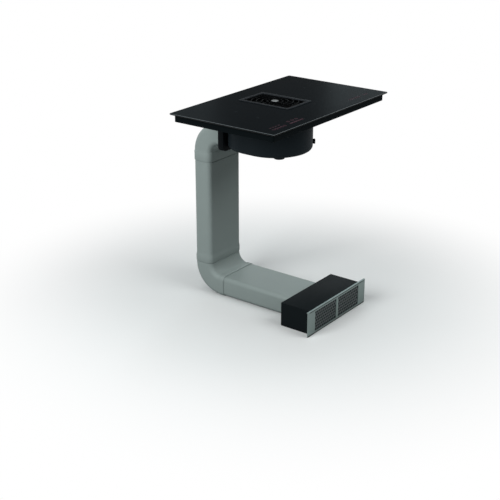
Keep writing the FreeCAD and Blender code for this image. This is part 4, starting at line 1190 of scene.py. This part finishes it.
class COOKTOP_OT_plinth_grille(Operator):
    """Stainless plinth frame with two windows of perforated sheet"""

    bl_idname = "cooktop.plinth_grille"
    bl_label = "Plinth grille"

    def execute(self, context):
        sizes, colours = settings(context)
        windows = [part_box("plinth_mesh_" + side) for side in SIDES]
        finishes = [brushed_steel(colours), rubber_and_groove_shade(colours), shaded_fold_edge(colours)]
        surround = self.surround(sizes, windows)
        finish_piece(
            "plinth_surround", surround, "plinth_grille", finishes, ["plinth_frame"],
        )
        for side, (low, high) in zip(SIDES, windows):
            bm = bmesh.new()
            area = high.x - low.x, high.z - low.z
            punched_sheet(bm, *area, sizes.hole_pitch, sizes.hole_width, sizes.mesh_sheet)
            spot = Vector(((low.x + high.x) / 2, low.y, (low.z + high.z) / 2))
            bmesh.ops.transform(bm, matrix=sheet_place(spot), verts=bm.verts)
            finish_piece(
                "window_mesh_" + side, bm, "plinth_grille", [dark_mesh(colours)],
                ["plinth_mesh_" + side],
            )
        return {"FINISHED"}

    def surround(self, sizes, windows):
        """Sheet with windows, a groove and a dark foot strip, folded back along its top."""
        low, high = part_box("plinth_frame")
        face_back = low.y + sizes.plinth_sheet
        groove = high.z - sizes.groove_drop
        groove_low, groove_high = groove - sizes.groove_width / 2, groove + sizes.groove_width / 2
        fold = high.z - sizes.plinth_return
        strip = low.z + sizes.foot_strip
        ends = low.x + sizes.groove_end, high.x - sizes.groove_end
        bm = bmesh.new()
        middle = Vector(((low.x + high.x) / 2, face_back, (low.z + high.z) / 2))
        rounded_face(bm, middle, high.x - low.x, high.z - low.z, 0, True)
        for level in (*(spot.x for window in windows for spot in window), *ends):
            cut(bm, X * level, X)
        for level in (strip, windows[0][0].z, windows[0][1].z, groove_low, groove_high, fold):
            cut(bm, Z * level, Z)
        cells = {face: face.calc_center_median() for face in bm.faces}
        holes = [
            face for face, spot in cells.items()
            if any(start.x < spot.x < end.x and start.z < spot.z < end.z for start, end in windows)
        ]
        bmesh.ops.delete(bm, geom=holes, context="FACES")
        sheet = list(bm.faces)
        folds = [face for face in sheet if cells[face].z > fold]
        front = extrude(bm, sheet, -Y * (sizes.plinth_sheet - sizes.groove_depth), base=True)
        raised = []
        for face in front:
            spot = face.calc_center_median()
            in_groove = groove_low < spot.z < groove_high and ends[0] < spot.x < ends[1]
            # Painted shade: the groove takes the black rubber finish; the strip along the foot takes it as
            # well.
            if in_groove or spot.z < strip:
                face.material_index = 1
            else:
                raised.append(face)
        extrude(bm, raised, -Y * sizes.groove_depth)
        extrude(bm, folds, Y * (high.y - face_back))
        # The top faces take the darker fold finish, which is painted shade.
        for face in bm.faces:
            if face.calc_center_median().z > high.z - WELD:
                face.material_index = 2
        return bm


class COOKTOP_OT_finishes(Operator):
    """Finishes of the CAD nodes that show as they are"""

    bl_idname = "cooktop.finishes"
    bl_label = "Finishes"

    def execute(self, context):
        finishes = {
            "black_glass": glass_ceramic,
            "black_seal": rubber_and_groove_shade,
            "black_sheet": powder_coat,
            "grey_frame": anodised_frame,
            "bare_aluminium": bare_aluminium,
            "black_iron": enamel_casting,
            "brushed_steel": brushed_steel,
            "black_plastic": black_moulding,
            "grey_duct": duct_plastic,
            "copper_winding": copper_winding,
            "pale_mica": mica_sheet,
            "dark_ferrite": sintered_ferrite,
            "green_board": circuit_board,
            "cream_block": cream_plastic,
            "charcoal": charcoal_pellets,
        }
        for part in frame["record"]["subparts"]:
            chosen = tray_coat if part["node"] == "chassis_tray" else finishes[part["material_slot"]]
            finish = chosen(context.scene.cooktop_colours)
            for holder in frame["nodes"][part["node"]].material_slots:
                holder.material = finish
        return {"FINISHED"}


OPERATORS = (
    COOKTOP_OT_stage, COOKTOP_OT_glass_top, COOKTOP_OT_printed_marks, COOKTOP_OT_downdraft_frame,
    COOKTOP_OT_ring_grille, COOKTOP_OT_grease_filter, COOKTOP_OT_blower_fittings, COOKTOP_OT_flat_duct,
    COOKTOP_OT_filter_box, COOKTOP_OT_charcoal_cartridges, COOKTOP_OT_plinth_grille, COOKTOP_OT_finishes,
)


class COOKTOP_PT_panel(Panel):
    """Steps that dress the cooktop"""

    bl_idname = "COOKTOP_PT_panel"
    bl_label = "Cooktop"
    bl_space_type = "VIEW_3D"
    bl_region_type = "UI"
    bl_category = "Cooktop"

    def draw(self, context):
        for step in OPERATORS:
            self.layout.operator(step.bl_idname)


CLASSES = (CooktopSizes, CooktopColours, *OPERATORS, COOKTOP_PT_panel)


def register():
    for item in CLASSES:
        bpy.utils.register_class(item)
    bpy.types.Scene.cooktop_sizes = PointerProperty(type=CooktopSizes)
    bpy.types.Scene.cooktop_colours = PointerProperty(type=CooktopColours)


def unregister():
    del bpy.types.Scene.cooktop_colours
    del bpy.types.Scene.cooktop_sizes
    for item in reversed(CLASSES):
        bpy.utils.unregister_class(item)


def main():
    register()
    for step in OPERATORS:
        group, name = step.bl_idname.split(".")
        getattr(getattr(bpy.ops, group), name)()


if __name__ == "__main__":
    main()
